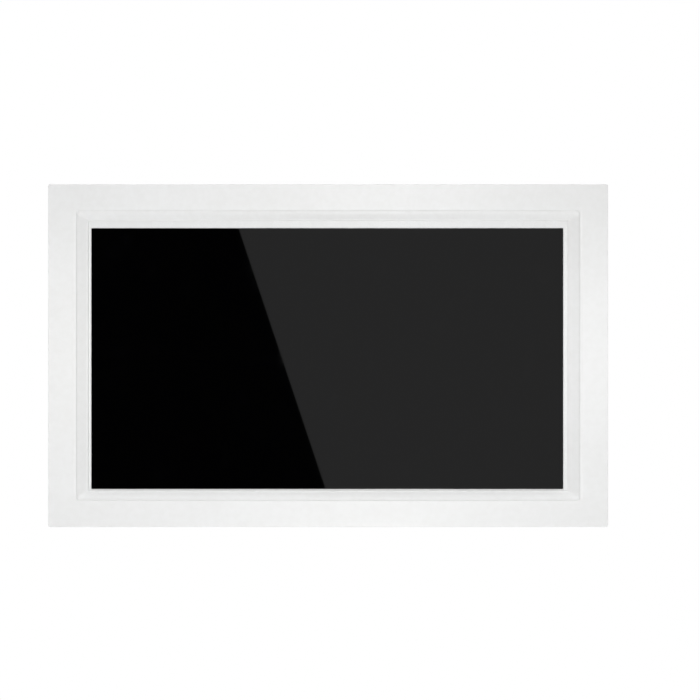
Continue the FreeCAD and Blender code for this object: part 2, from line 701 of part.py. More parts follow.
def make_screws(name, places, head_back, head_front, tip, head_radius, shank_radius):
    """A group of equal pan-head screws with crossed slots, heads towards the wall: one screw, copied."""
    out = Vector(0, -1, 0)
    back, under, end = (Vector(0, -number(depth), 0) for depth in (head_back, head_front, tip))
    head_height = (under - back).Length
    head = Part.makeCylinder(head_radius, head_height, back, out)
    head = head.makeChamfer(head_height / 4, [e for e in head.Edges if abs(e.BoundBox.YMin - back.y) < 1e-3
                                              and abs(e.BoundBox.YMax - back.y) < 1e-3])
    screw = head.fuse(Part.makeCylinder(shank_radius, (end - under).Length, under, out)).removeSplitter()
    width, length, sunk = 0.5, 1.1 * head_radius, 0.55 * head_height
    for across, up in ((width, length), (length, width)):
        corner = back + Vector(-across / 2, -sunk, -up / 2)
        screw = screw.cut(Part.makeBox(across, sunk, up, corner))
    group = doc.addObject("Part::Feature", name)
    group.Label = name
    group.Shape = Part.makeCompound([screw.translated(Vector(number(x), 0, number(z))) for x, z in places])


# ---------------------------------------------------------------- back cover and wall plate
def ringed_holes(pitch, rings, radius):
    """A centre hole, and rings of 6, 12, 18... holes round it."""
    places = [(0, 0)]
    for ring in range(1, rings + 1):
        for step in range(6 * ring):
            turn = 2 * math.pi * step / (6 * ring)
            places.append((pitch * ring * math.cos(turn), pitch * ring * math.sin(turn)))
    return discs(places, radius)


def make_rear_cover():
    """The tray-shaped back cover: holes for cables, screws, air and sound, and a recess for the plate."""
    recess = Rect(-71.5, 71.5, -57.5, 51.5, 2)
    pad_front = recess_floor + case_wall
    cover = Piece("rear_cover")
    cover.add(centred(case_width, case_height, radius=case_corner), case_back, joint)
    cover.round(case_round, at_depth(case_back))
    cover.cut(centred(2 * inner_case_x, 2 * inner_case_z, radius=case_corner - case_wall), cover_floor, joint)
    cover.round(1.8, at_depth(cover_floor))
    cover.add(Rect(recess.u0 - case_wall, recess.u1 + case_wall, recess.v0 - case_wall, recess.v1 + case_wall, 3),
              cover_floor - 0.2, pad_front)
    cover.cut(recess, case_back, recess_floor)
    cover.cut(Rect(-port_x, port_x, port_low, port_high, 2), recess_floor, pad_front)
    slot_half, slot_drop, slot_top = hook_width / 2 + 0.7, hang_travel + 2, 0.05
    cover.cut([Rect(x - slot_half, x + slot_half, z - slot_drop, z + slot_top) for x, z in HOOKS],
              recess_floor, pad_front)

    # Screw posts with sunk heads.
    cover.add(discs(CASE_SCREWS, 3.5), cover_floor - 0.2, 8)
    cover.cut(discs(CASE_SCREWS, 2.8), case_back, 4.6)
    cover.cut(discs(CASE_SCREWS, 1.6), 4.6, 8)

    # Loudspeaker seat and holes, microphone hole.
    speaker = (speaker_x, speaker_z)
    seat = [Disc(0, 0, speaker_radius + 1.7), Disc(0, 0, speaker_radius + 0.4)]
    cover.add(seat, cover_floor - 0.2, 6, origin=speaker)
    cover.cut(ringed_holes(4.2, 3, 1.0), case_back, cover_floor, origin=speaker)
    cover.cut(Disc(mic_x, mic_depth, 0.6), -half_case_z - 0.5, -inner_case_z + 0.5, "level")

    # Air slots: top and bottom walls, and two groups in the back.
    slot, pitch = 1.8, 4.5
    for low, high, count in ((inner_case_z - 0.5, half_case_z + 0.5, 26),
                             (-half_case_z - 0.5, -inner_case_z + 0.5, 22)):
        left = -(pitch * (count - 1) + slot) / 2
        first = cover.cut(Rect(left, left + slot, 6, 11.5), low, high, "level")
        cover.repeat(first, "X", pitch, count)
    upper_left = cover.cut(Rect(-117, -83, 38, 38 + slot, 0.8), case_back, cover_floor)
    cover.repeat(upper_left, "Z", pitch, 6)
    lower_right = cover.cut(Rect(83, 113, -54, -54 + slot, 0.8), case_back, cover_floor)
    cover.repeat(lower_right, "Z", pitch, 8)

    # Right-hand wall: power switch, memory card with a nail notch, and the reset hole.
    wall_in, wall_out = inner_case_x - 0.5, half_case_x + 0.5
    cover.cut(Rect(6.3, 8.9, switch_z - 1.8 - switch_travel - 0.3, switch_z + 2.1), wall_in, wall_out, "side")
    cover.cut(Rect(8.2, 9.6, card_z - 5.8, card_z + 5.8), wall_in, wall_out, "side")
    cover.cut(Rect(6.9, 10.9, card_z - 3.5, card_z + 3.5), half_case_x - 1, half_case_x + 0.2, "side")
    cover.cut(Disc(7.9, reset_z, 0.8), wall_in, wall_out, "side")


def make_wall_plate():
    """The pressed steel wall plate, with four hooks bent out of it."""
    plate = Piece("wall_plate")
    plate.add(centred(plate_width, plate_height, radius=4), 0, plate_thick)
    plate.cut(Rect(-42, 42, -33, 15, 3), 0, plate_thick)
    tab_gap, tab_length = 0.5, 11
    reach = hook_width / 2 + tab_gap
    plate.cut([Rect(x - reach, x + reach, z, z + tab_length) for x, z in HOOKS], 0, plate_thick)
    legs = [Rect(x - hook_width / 2, x + hook_width / 2, z - plate_thick, z) for x, z in HOOKS]
    plate.add(legs, plate_thick - 0.2, hook_reach)
    lips = [Rect(s.u0, s.u1, z - 0.2, z + hook_lip) for s, (x, z) in zip(legs, HOOKS)]
    plate.add(lips, hook_reach - plate_thick, hook_reach)
    plate.cut(discs(corners_at(screw_hole_x, screw_hole_z), screw_hole), 0, plate_thick)
    plate.cut(discs(corners_at(box_hole_x, box_hole_z), screw_hole), 0, plate_thick)


# ---------------------------------------------------------------- electronics
def board(name, left, right, low, high, holes):
    """One circuit board with its screw holes."""
    piece = Piece(name)
    piece.add(Rect(left, right, low, high), board_back, board_front)
    piece.cut(discs(holes, 1.5), board_back, board_front)
    return piece


def make_boards():
    board("main_board", main_left, main_right, main_low, main_high, MAIN_SCREWS)
    board("power_board", power_left, power_right, power_low, power_high, POWER_SCREWS)
    board("side_board", side_left, side_right, side_low, side_high, SIDE_SCREWS)
    board("terminal_board", inlet_left, inlet_right, inlet_low, inlet_high, INLET_SCREWS)
    standoffs = Piece("board_standoffs")
    standoffs.add(discs(BOARD_SCREWS, 2.4), board_front, display_back)
    standoffs.cut(discs(BOARD_SCREWS, 1.2), board_front, display_back)
    driver = Piece("lcd_driver_board")
    driver.add(Rect(-90, 90, 59, 70), board_front + 0.2, display_back - 0.2)
    sheet = Piece("insulating_sheet")
    sheet.add(Rect(power_left - 4, power_right - 5.5, power_low + 8, power_high - 7), 11.9, 12.2)


def make_board_parts():
    """What stands on the boards, on the side that faces the wall."""
    chip = Piece("processor")
    chip.add(Rect(-40, -26, 28, 42), board_back - 1.4, board_back)
    sink = Piece("heat_sink")
    sink.add(Rect(-43, -23, 25, 45), 7.0, board_back - 1.4)
    sink.add([Rect(x, x + 1, 25, 45) for x in range(-43, -23, 3)], 5.0, 7.0)
    memory = Piece("memory_chips")
    memory.add([Rect(-18, -7, 24, 32), Rect(-18, -7, 36, 44), Rect(22, 30, 26, 32)], board_back - 1, board_back)
    cans = Piece("board_capacitors")
    cans.add(discs([(12, 50), (20, 50), (28, 50), (-60, 48), (-60, 40), (60, 46)], 2.6), 5.0, board_back)
    cans.bevel(0.4, at_depth(5.0))
    coils = Piece("board_inductors")
    coils.add([Rect(35, 41, 38, 44), Rect(44, 50, 38, 44), Rect(-66, -60, 24, 30)], 6.6, board_back)
    coils.bevel(0.6, at_depth(6.6))
    relay = Piece("door_relay")
    relay.add(Rect(-62, -42, 8, 18), 5.0, board_back)
    relay.round(0.6, at_depth(5.0))
    holder = Piece("cell_holder")
    holder.add(Rect(0.5, 15.5, 28, 43), 6.8, board_back)
    holder.cut(Disc(8, 35.5, 6.35), 6.8, 9.0)
    coin = Piece("backup_cell")
    coin.add(Disc(8, 35.5, 6.25), 7.0, 9.0)
    coin.bevel(0.3, at_depth(7.0))

    # Five four-pin sockets for door stations, reached through the cable window.
    sockets, pins = Piece("door_sockets"), Piece("socket_pins")
    centres = [k * socket_pitch for k in range(-2, 3)]
    mouth = board_back - socket_length
    wall, pin_half, pin_pitch = 0.9, 0.32, 2.5
    sockets.add([centred(socket_width, socket_height, x, socket_z) for x in centres], mouth, board_back)
    sockets.cut([centred(socket_width - 2 * wall, socket_height - 2 * wall, x, socket_z) for x in centres],
                mouth, board_back - 1.5)
    sockets.cut([centred(2.4, wall + 0.2, x + side, socket_z + socket_height / 2 - wall / 2)
                 for x in centres for side in (-3, 3)], mouth, board_back - 2.5)
    rows = [centred(2 * pin_half, 2 * pin_half, x + pin_pitch * (k - 1.5), socket_z)
            for x in centres for k in range(4)]
    pins.add(rows, mouth + 1.2, board_back - 1.5)

    ribbon_sockets = Piece("flex_sockets")
    ribbon_sockets.add([
        Rect(-30, 0, 48.5, 52.5), Rect(FLEX_LEFT - 1, FLEX_RIGHT + 1, main_low + 2, main_low + 6),
        Rect(66, 70, 32, 42), Rect(106, 110, 38, 48),
    ], board_back - 1.2, board_back)
    ribbon_sockets.add(Rect(-30, 0, 61, 65), board_front - 0.8, board_front + 0.2)

    wire_sockets = Piece("wire_sockets")
    wire_sockets.add([Rect(55, 62, -6, -1), Rect(-61, -54, -6, -1)], board_back - 3, board_back)
    wire_sockets.add([Rect(66, 72, 8, 16), Rect(85, 89.5, 4, 12), Rect(85, 89.5, -24, -14)],
                     board_back - 4, board_back)

    terminal = Piece("mains_terminal")
    terminal.add(Rect(24, 36, -22, -12), board_back - 7, board_back)
    terminal.bevel(1.2, lambda box: at_depth(board_back - 7)(box) and at_z(-12)(box))
    terminal.cut(discs([(27, -18.8), (33, -18.8)], 1.7), board_back - 7, board_back - 3)
    terminal.cut([Rect(x - 1.6, x + 1.6, -14.9, -12.7) for x in (27, 33)], board_back - 7, board_back - 2.5)


def make_power_parts():
    """Transformer, capacitors and fuse on the power board."""
    transformer = Piece("power_transformer")
    transformer.add(Rect(92, 112, -30, -8), 5.0, 8.2)
    transformer.add(Rect(95, 109, -31.5, -6.5), 3.7, board_back)
    transformer.bevel(0.5, at_depth(3.7))
    cans = Piece("power_capacitors")
    cans.add([Disc(x, 6.4, 3.1) for x in (93, 101, 109)], -60, -40, "level")
    cans.add([Disc(x, 6.4, 3.1) for x in (97, 105)], -5, 8, "level")
    cans.bevel(0.4, lambda box: at_z(-60)(box) or at_z(-40)(box) or at_z(-5)(box) or at_z(8)(box))
    fuse = Piece("power_fuse")
    fuse.add(Disc(112.6, 6.9, 2.6), -3, 7, "level")


def make_side_parts():
    """Power switch, memory card and reset switch at the right-hand edge."""
    body = Piece("power_switch_body")
    body.add(Rect(119.5, 128.3, switch_z - 6, switch_z + 4), 5.6, board_back)
    pocket = Rect(6.4, 8.8, switch_z - switch_travel - 2.6, switch_z + 2.6)
    body.cut(pocket, 125.4, 128.3, "side")
    slider = Piece("power_switch_slider")
    slider.add(Rect(6.6, 8.6, switch_z - 2.5, switch_z + 2.5), 125.6, 128.3, "side")
    knob_tip = half_case_x + 1.4
    slider.add(Rect(6.6, 8.6, switch_z - 1.8, switch_z + 1.8), 128.3, knob_tip, "side")
    slider.cut([Rect(6.4, 8.8, switch_z + k - 0.2, switch_z + k + 0.2) for k in (-1, 0, 1)],
               knob_tip - 0.35, knob_tip, "side")

    card_half, card_left, card_right = 5.5, 115.5, half_case_x - 0.5
    socket = Piece("card_socket")
    socket.add(Rect(112, 127, card_z - 7.4, card_z + 7.4), 7.9, board_back)
    socket.cut(Rect(8.25, 9.55, card_z - 5.6, card_z + 5.6), 113.4, 127, "side")
    card = Piece("memory_card")
    card.add(Outline([
        (card_left, card_z - card_half), (card_right, card_z - card_half), (card_right, card_z + card_half),
        (card_left + 7, card_z + card_half), (card_left + 6, card_z + card_half - 1.3),
        (card_left, card_z + card_half - 1.3),
    ]), 8.4, 9.4)

    reset_body = Piece("reset_switch_body")
    reset_body.add(Rect(121, 125.5, reset_z - 2.2, reset_z + 2.2), 6.2, board_back)
    reset_body.cut(Disc(7.9, reset_z, 1.05), 124.7, 125.5, "side")
    plunger = Piece("reset_plunger")
    plunger.add(Disc(7.9, reset_z, 0.9), 125.1, 127.9, "side")


def make_sound():
    """Loudspeaker, in its turned parts, and the microphone in its rubber boot."""
    centre = (speaker_x, speaker_z)
    rim, edge = speaker_radius, cover_floor + 0.6
    Piece("speaker_gasket").turn([(cover_floor, rim - 3), (cover_floor, rim), (edge, rim), (edge, rim - 3)], *centre)
    Piece("speaker_basket").turn([
        (edge, rim - 3.1), (edge, rim), (edge + 1, rim), (8.2, 12.5), (8.2, 6), (7.4, 6), (7.4, 11.9),
        (edge + 1, rim - 3.1),
    ], *centre)
    Piece("speaker_magnet").turn([(6.7, 0), (6.7, 5.4), (8.2, 5.4), (8.2, 10.5), (11.0, 10.5), (11.0, 0)], *centre)
    Piece("speaker_cone").turn([
        (4.4, 0), (4.9, 4.5), (6.0, 5.4), (3.9, 15.2), (3.5, 16.0), (3.5, 16.8),
        (3.9, 16.8), (3.9, 16.2), (4.3, 15.4), (6.5, 5.7), (5.3, 4.7), (4.8, 0),
    ], *centre)
    floor = -inner_case_z
    boot = Piece("microphone_boot")
    boot.add(Disc(mic_x, mic_depth, 3.2), floor, floor + 2.8, "level")
    boot.cut(Disc(mic_x, mic_depth, 2.0), floor + 0.8, floor + 2.8, "level")
    boot.cut(Disc(mic_x, mic_depth, 0.6), floor, floor + 0.8, "level")
    capsule = Piece("microphone")
    capsule.add(Disc(mic_x, mic_depth, 2.0), floor + 0.8, floor + 2.5, "level")


def make_wiring():
    """Ribbons and leads between the boards, each ending face to face with its socket."""
    top = main_high + 1.2
    lcd = Piece("lcd_flex")
    lcd.add(Outline([
        (10.7, 61), (10.95, 61), (10.95, top), (9.05, top), (9.05, 52.5), (8.8, 52.5),
        (8.8, top + 0.25), (10.7, top + 0.25),
    ]), -29, -1, "side")
    side = Piece("side_flex")
    side.add(Rect(70, 74.5, 33, 41), 8.9, 9.15)
    side.add(Outline([(74.5, 33), (74.5, 41), (102, 47), (106, 47), (106, 39), (102, 39)]), 8.9, 9.15)
    socket_level, low_level = 7.6, 8.1
    leads("mains_wires", [
        [(36, 8.2, z), (43, 8.2, z), (53, 10, z - 1.3), (64, 10, z - 0.2), (76, socket_level, z - 1.3),
         (85, socket_level, z - 1.3)]
        for z in (-18.9, -15.2)
    ], 2.0)
    leads("power_cable", [
        [(72, socket_level, z + 4), (75.5, socket_level, z + 4), (81.5, socket_level, z), (85, socket_level, z)]
        for z in (6, 8, 10)
    ], 1.4)
    leads("speaker_wires", [
        [(-84.5 + shift, 8.8, -30), (-79 + shift, 8.5, -24), (-68 + shift, 8.2, -19.5),
         (-58.5 + shift, low_level, -15), (-58.5 + shift, low_level, -6)]
        for shift in (0, 1.6)
    ], 1.0)
    leads("microphone_wires", [
        [(65.2 + shift, mic_depth, -inner_case_z + 2.5), (65.2 + shift, mic_depth, -65), (64.5 + shift, 7.4, -50),
         (60.5 + shift, 7.3, -33), (57.6 + shift, low_level, -16), (57.6 + shift, low_level, -6)]
        for shift in (0, 1.5)
    ], 0.9)


# ---------------------------------------------------------------- the whole monitor
make_decor_frame()
make_front_shell()
make_glass()
make_display()
make_screws("frame_screws", FRAME_SCREWS, joint - 1.3, joint, 21.5, 1.8, PILOT)
make_screws("lcd_bracket_screws", BRACKETS, display_back - 2.2, display_back - 1, 14.6, 1.8, PILOT)
make_rear_cover()
make_screws("case_screws", CASE_SCREWS, 2.6, 4.6, 13, 2.5, CASE_PILOT)
make_wall_plate()
make_boards()
make_screws("board_screws", BOARD_SCREWS, board_back - 1.5, board_back, 12.2, 2.2, 1.2)
make_board_parts()
make_power_parts()
make_side_parts()
make_sound()
make_wiring()


# ---------------------------------------------------------------- checks and files
def pieces():
    """Every object that is a sub-part: bodies and free shapes, not the features inside a body."""
    kinds = ("PartDesign::Body", "Part::Feature")
    return [thing for thing in doc.Objects if thing.TypeId in kinds]


doc.recompute()
for thing in doc.Objects:
    if {"Invalid", "Error"} & set(thing.State):
        raise RuntimeError(f"{thing.Label} is {thing.State}")
os.makedirs("parts", exist_ok=True)
for piece in pieces():
    if piece.Shape.isNull() or not piece.Shape.isValid() or piece.Shape.Volume <= 0:
        raise RuntimeError(f"{piece.Label} has no valid shape")
for piece in pieces():
    piece.Shape.exportStep(f"parts/{piece.Label}.step")
print(len(pieces()), "sub-parts written")
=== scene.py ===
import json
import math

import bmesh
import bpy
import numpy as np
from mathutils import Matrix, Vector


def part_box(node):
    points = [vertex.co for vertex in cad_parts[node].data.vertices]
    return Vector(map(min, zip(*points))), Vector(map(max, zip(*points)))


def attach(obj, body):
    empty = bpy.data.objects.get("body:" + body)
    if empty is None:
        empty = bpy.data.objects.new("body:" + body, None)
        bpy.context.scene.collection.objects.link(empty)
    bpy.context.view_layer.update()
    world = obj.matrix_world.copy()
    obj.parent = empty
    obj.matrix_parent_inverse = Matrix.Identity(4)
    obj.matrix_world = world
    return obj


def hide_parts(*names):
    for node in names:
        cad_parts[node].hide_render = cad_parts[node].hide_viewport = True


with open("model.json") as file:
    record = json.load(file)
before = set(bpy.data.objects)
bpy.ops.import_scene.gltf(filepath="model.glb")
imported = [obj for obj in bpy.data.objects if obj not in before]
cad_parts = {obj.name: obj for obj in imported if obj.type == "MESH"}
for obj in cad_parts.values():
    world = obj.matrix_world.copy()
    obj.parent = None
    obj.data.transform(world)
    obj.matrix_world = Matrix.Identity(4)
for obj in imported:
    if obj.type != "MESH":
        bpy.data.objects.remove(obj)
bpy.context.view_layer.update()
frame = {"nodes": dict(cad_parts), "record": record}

# %% [markdown]
# # A video intercom monitor
# The monitor hangs on a wall plate: a white moulding like a picture frame, a sheet of black glass,
# and a tray-shaped back cover with all the electronics. The shapes that hold or move come from the
# design model and are only given finishes here. The two faces that people look at every day, the
# moulding and the glass, are made again as smooth surfaces, and a thin seal that the design model
# leaves out is added. Everything is in metres, +Z is up, and the wall is the plane y = 0 with the
# room on the -y side.

MM = 0.001
nodes = frame["nodes"]


def place_of(node):
    """The lowest and highest corners of a design node, in millimetres, as two arrays."""
    low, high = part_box(node)
    return np.array(low) / MM, np.array(high) / MM


moulding_low, moulding_high = place_of("decor_frame")
half_width, half_height = moulding_high[0], moulding_high[2]
front, back = -moulding_low[1], -moulding_high[1]
print(f"moulding {2 * half_width:.1f} by {2 * half_height:.1f} mm, front {front:.1f} mm from wall")

# %% [markdown]
# ## Camera
# The monitor is looked at square on, from far enough away that its sides don't show. A long lens
# three metres away does that. The camera aims a little to the right of the middle and above it, and
# the lens is not shifted.

# %% Camera
SENSOR = 36.0
VIEW_WIDTH = 349.0  # mm across the view, at the front of the moulding
AIM = (10.9, 2.8)  # mm, sideways and up from the middle of the monitor
CAMERA_DISTANCE = 3000.0  # mm in front of the moulding

camera_data = bpy.data.cameras.new("camera")
camera_data.sensor_width = SENSOR
camera_data.lens = SENSOR * CAMERA_DISTANCE / VIEW_WIDTH
camera = bpy.data.objects.new("camera", camera_data)
camera.location = (AIM[0] * MM, -(front + CAMERA_DISTANCE) * MM, AIM[1] * MM)
camera.rotation_euler = (math.pi / 2, 0, 0)
bpy.context.scene.collection.objects.link(camera)
bpy.context.scene.camera = camera
bpy.context.scene.view_settings.view_transform = "Standard"
print(f"lens {camera_data.lens:.0f} mm")

# %% [markdown]
# ## Shader arithmetic
# A finish is a formula: a colour here, a little more roughness there. Blender writes formulas as
# boxes joined by wires, which are hard to read in a script. So one small class wraps a socket and
# gives it Python's operators, and another makes every other kind of node through one method.


# %% Sockets that can be added and multiplied
class Value:
    """A number that a node gives. Arithmetic on it adds Math nodes."""

    def __init__(self, recipe, socket):
        self.recipe, self.socket = recipe, socket

    def math(self, operation, *inputs):
        """A Math node on these inputs, which may be values or plain numbers."""
        return self.recipe.node("ShaderNodeMath", {"operation": operation}, inputs)

    def __add__(self, other):
        return self.math("ADD", self, other)

    def __sub__(self, other):
        return self.math("SUBTRACT", self, other)

    def __rsub__(self, other):
        return self.math("SUBTRACT", other, self)

    def __mul__(self, other):
        return self.math("MULTIPLY", self, other)

    def __truediv__(self, other):
        return self.math("DIVIDE", self, other)

    def __rtruediv__(self, other):
        return self.math("DIVIDE", other, self)

    def __pow__(self, other):
        return self.math("POWER", self, other)

    def __rpow__(self, other):
        return self.math("POWER", other, self)

    def __lt__(self, other):
        return self.math("LESS_THAN", self, other)

    def __gt__(self, other):
        return self.math("GREATER_THAN", self, other)

    def __abs__(self):
        return self.math("ABSOLUTE", self)

    __radd__ = __add__
    __rmul__ = __mul__

    def floor(self):
        return self.math("FLOOR", self)

    def fraction(self):
        return self.math("FRACT", self)

    def at_least(self, low):
        return self.math("MAXIMUM", self, low)

    def clamp(self):
        """The value, kept between 0 and 1."""
        return self.recipe.node("ShaderNodeClamp", {}, [self, 0.0, 1.0])

    def smooth(self, low, high):
        """0 below low, 1 above high, and a smooth step between them."""
        settings = {"interpolation_type": "SMOOTHSTEP"}
        ends = {"Value": self, "From Min": low, "From Max": high}
        return self.recipe.node("ShaderNodeMapRange", settings, ends)


print("a socket now has +, -, *, /, **, <, > and abs")

# %% [markdown]
# Colours go through Mix nodes, because a Math node would turn them grey. Patterns read the object's
# own coordinates, so they stay on a piece wherever it moves.


# %% Recipes for materials
def paint(colour):
    """A colour as Blender wants it: a link stays a link, and a grey or a triple gets its alpha."""
    if isinstance(colour, Value):
        return colour
    if isinstance(colour, (int, float)):
        colour = (colour, colour, colour)
    return (*colour, 1.0)


def tint(colour, gain):
    """A colour made lighter or darker."""
    return tuple(channel * gain for channel in colour)


MIX_FACTOR, MIX_FIRST, MIX_SECOND, MIX_RESULT = 0, 6, 7, 2  # a Mix node's sockets for colours


class Recipe:
    """One material while it is being written."""

    def __init__(self, name, tree=None):
        if tree is None:
            self.material = bpy.data.materials.new(name)
            self.material.use_nodes = True
            tree = self.material.node_tree
        self.tree = tree
        self.tree.nodes.clear()

    def node(self, kind, settings, inputs, output=0):
        """Adds one node: its settings first, then its inputs, in order or by name.

        It gives the output with that number or name, or all of them when output is None."""
        made = self.tree.nodes.new(kind)
        for key, setting in settings.items():
            setattr(made, key, setting)
        pairs = inputs.items() if isinstance(inputs, dict) else enumerate(inputs)
        for key, value in pairs:
            if isinstance(value, Value):
                self.tree.links.new(value.socket, made.inputs[key])
            elif value is not None:
                made.inputs[key].default_value = value
        if output is None:
            return [Value(self, socket) for socket in made.outputs]
        return Value(self, made.outputs[output])

    def at(self, stretch=(1, 1, 1)):
        """The place on the piece, in millimetres, stretched along x, y and z."""
        place = self.node("ShaderNodeTexCoord", {}, [], "Object")
        scale = tuple(1 / (MM * s) for s in stretch)
        return self.node("ShaderNodeMapping", {}, {"Vector": place, "Scale": scale})

    def axes(self):
        """The place on the piece as three numbers, in millimetres."""
        return self.node("ShaderNodeSeparateXYZ", {}, [self.at()], output=None)

    def noise(self, size, detail=2.0, roughness=0.5, stretch=(1, 1, 1)):
        """Soft noise from 0 to 1, whose lumps are about size millimetres across."""
        return self.node("ShaderNodeTexNoise", {}, {
            "Vector": self.at(stretch), "Scale": 1 / size, "Detail": detail,
            "Roughness": roughness,
        })

    def cells(self, size, output="Distance"):
        """Voronoi cells about size millimetres across."""
        inputs = {"Vector": self.at(), "Scale": 1 / size}
        return self.node("ShaderNodeTexVoronoi", {"feature": "F1"}, inputs, output)

    def mix(self, factor, first, second):
        """A colour between two colours."""
        colours = {MIX_FACTOR: factor, MIX_FIRST: paint(first), MIX_SECOND: paint(second)}
        return self.node("ShaderNodeMix", {"data_type": "RGBA"}, colours, MIX_RESULT)

    def bump(self, height, depth, below=None):
        """A Normal from a height of 0 to 1 that stands for depth millimetres."""
        return self.node("ShaderNodeBump", {}, {
            "Strength": 1.0, "Distance": depth * MM, "Height": height, "Normal": below,
        })

    def finish(self, base, roughness, metallic=0.0, normal=None, ior=None):
        """The Principled shader, and the finished material."""
        shader = self.node("ShaderNodeBsdfPrincipled", {}, {
            "Base Color": paint(base), "Roughness": roughness, "Metallic": metallic,
            "Normal": normal, "IOR": ior,
        })
        self.node("ShaderNodeOutputMaterial", {}, {"Surface": shader}, output=None)
        return self.material


print("recipes are ready")

# %% [markdown]
# ## Light
# The product stands in a white studio. The world is plain white where the camera sees it. For light
# it is a soft dome that is bright above and below, dim level with the monitor, and dimmer still at
# its sides, which lets the slopes of the moulding read against its flat face. An even white world
# would be simpler, but white on white then has no shape.

# %% The world
HORIZON, ABOVE, LEAN = 0.03, 3.4, 1.2  # how bright the dome is
SIDE_LOSS, LEAST, BEHIND = 2.4, 0.02, 0.5
WARM_WHITE, COOL_WHITE = (1.0, 0.985, 0.955), (0.968, 0.99, 1.0)


def make_world():
    """A white world for the camera, and a dome of light by direction for everything else.

    With x, y and z the parts of a direction, the dome's strength is HORIZON + (ABOVE - LEAN z) z^2,
    times 1 - SIDE_LOSS x^2, never less than LEAST, plus BEHIND where y points behind the wall. Its
    colour goes from warm, level with the monitor, to cool, overhead and below, as 2 z^2."""
    world = bpy.data.worlds.new("studio")
    world.use_nodes = True
    recipe = Recipe("studio", world.node_tree)
    direction = recipe.node("ShaderNodeTexCoord", {}, [], "Object")
    x, y, z = recipe.node("ShaderNodeSeparateXYZ", {}, [direction], output=None)
    sky = (HORIZON + (ABOVE - LEAN * z) * z * z) * (1 - SIDE_LOSS * x * x)
    light = sky.at_least(LEAST) + BEHIND * y.smooth(0.1, 0.7)
    colour = recipe.mix((2 * z * z).clamp(), WARM_WHITE, COOL_WHITE)
    dome = recipe.node("ShaderNodeBackground", {}, {"Color": colour, "Strength": light})
    plain = recipe.node("ShaderNodeBackground", {}, {"Color": paint(1.0), "Strength": 1.0})
    seen = recipe.node("ShaderNodeLightPath", {}, [], "Is Camera Ray")
    both = recipe.node("ShaderNodeMixShader", {}, [seen, dome, plain])
    recipe.node("ShaderNodeOutputWorld", {}, {"Surface": both}, output=None)
    bpy.context.scene.world = world


make_world()
overhead, below = HORIZON + ABOVE - LEAN, HORIZON + ABOVE + LEAN
print(f"dome: {overhead:.2f} overhead, {below:.2f} below, {HORIZON} at the horizon")

# %% [markdown]
# A broad lamp straight in front lights the flat face, and two small warm ones lift the two side
# bars. Long narrow lights above and below draw thin bright lines on the ledges, and one large soft
# light stands behind.


# %% Lamps
def hang_light(data, power, colour, shiny=False):
    """A light from its data, with its power and colour. Surfaces reflect it only if it is shiny."""
    data.energy, data.color = power, colour
    light = bpy.data.objects.new(data.name, data)
    light.visible_glossy = shiny
    bpy.context.scene.collection.objects.link(light)
    print(f"{data.name}: {power} W")
    return light


def soft_light(name, place, target, width, height, power, colour=(1, 1, 1), shiny=False):
    """An area light that faces a target. Places are in metres."""
    data = bpy.data.lights.new(name, "AREA")
    data.shape = "RECTANGLE"
    data.size, data.size_y = width, height
    light = hang_light(data, power, colour, shiny)
    away = np.array(place, float) - np.array(target, float)
    tilt, turn = math.atan2(math.hypot(away[0], away[1]), away[2]), math.atan2(away[0], -away[1])
    light.location, light.rotation_euler = place, (tilt, 0, turn)
    light.visible_camera = False


LAMP_DISTANCE = 2.6  # metres from the wall


def front_lamp(name, place, half_angle, widen, radius, power, colour=(1, 1, 1)):
    """A lamp straight in front, whose light fades from the middle of its cone outwards.

    The place is where the middle of the cone meets the monitor, sideways and up, in millimetres.
    The cone is widen times as wide as it is high."""
    data = bpy.data.lights.new(name, "SPOT")
    data.spot_size, data.spot_blend = 2 * math.radians(half_angle), 1.0
    data.shadow_soft_size = radius
    lamp = hang_light(data, power, colour)
    lamp.location = (place[0] * MM, -LAMP_DISTANCE, place[1] * MM)
    lamp.rotation_euler = (math.pi / 2, 0, 0)
    lamp.scale = (widen, 1, 1)


front_lamp("front_lamp", (0, 0), 5.0, 3.3, 0.25, 222)
for side in (1, -1):
    front_lamp(f"side_glow_{side}", (125 * side, 8), 1.25, 1, 0.02, 13, colour=(1.0, 0.985, 0.94))
soft_light("top_light", (0, -0.45, 1.2), (0, 0, 0), 1.4, 0.03, 0.6, shiny=True)
soft_light("low_light", (0, -0.6, -0.58), (0, 0, 0.07), 1.4, 0.1, 0.8, colour=(0.95, 0.98, 1.0))
soft_light("back_light", (-0.9, 1.3, 1.0), (0, 0, 0), 1.2, 1.2, 5.0)

# %% [markdown]
# ## The studio
# A round pale floor lies well below the monitor. Flat pieces of the studio that stand in front of
# it are seen by reflections only, as the cards in a real studio are kept out of view.


# %% Floor
def stage_panel(name, corners, material, reflections_only=False):
    """A flat piece of the studio with the given corners, in metres."""
    mesh = bpy.data.meshes.new(name)
    mesh.from_pydata(corners, [], [tuple(range(len(corners)))])
    panel = bpy.data.objects.new(name, mesh)
    panel.data.materials.append(material)
    bpy.context.scene.collection.objects.link(panel)
    if reflections_only:
        panel.visible_camera = False
        panel.visible_diffuse = False
        panel.visible_shadow = False
    print(f"{name}: {len(corners)} corners")


def floor_paint():
    """Matt pale floor paint, barely uneven."""
    recipe = Recipe("floor_paint")
    patchy = recipe.noise(180.0, detail=3)
    return recipe.finish(recipe.mix(patchy, 0.86, 0.9), 0.7 + 0.1 * patchy)


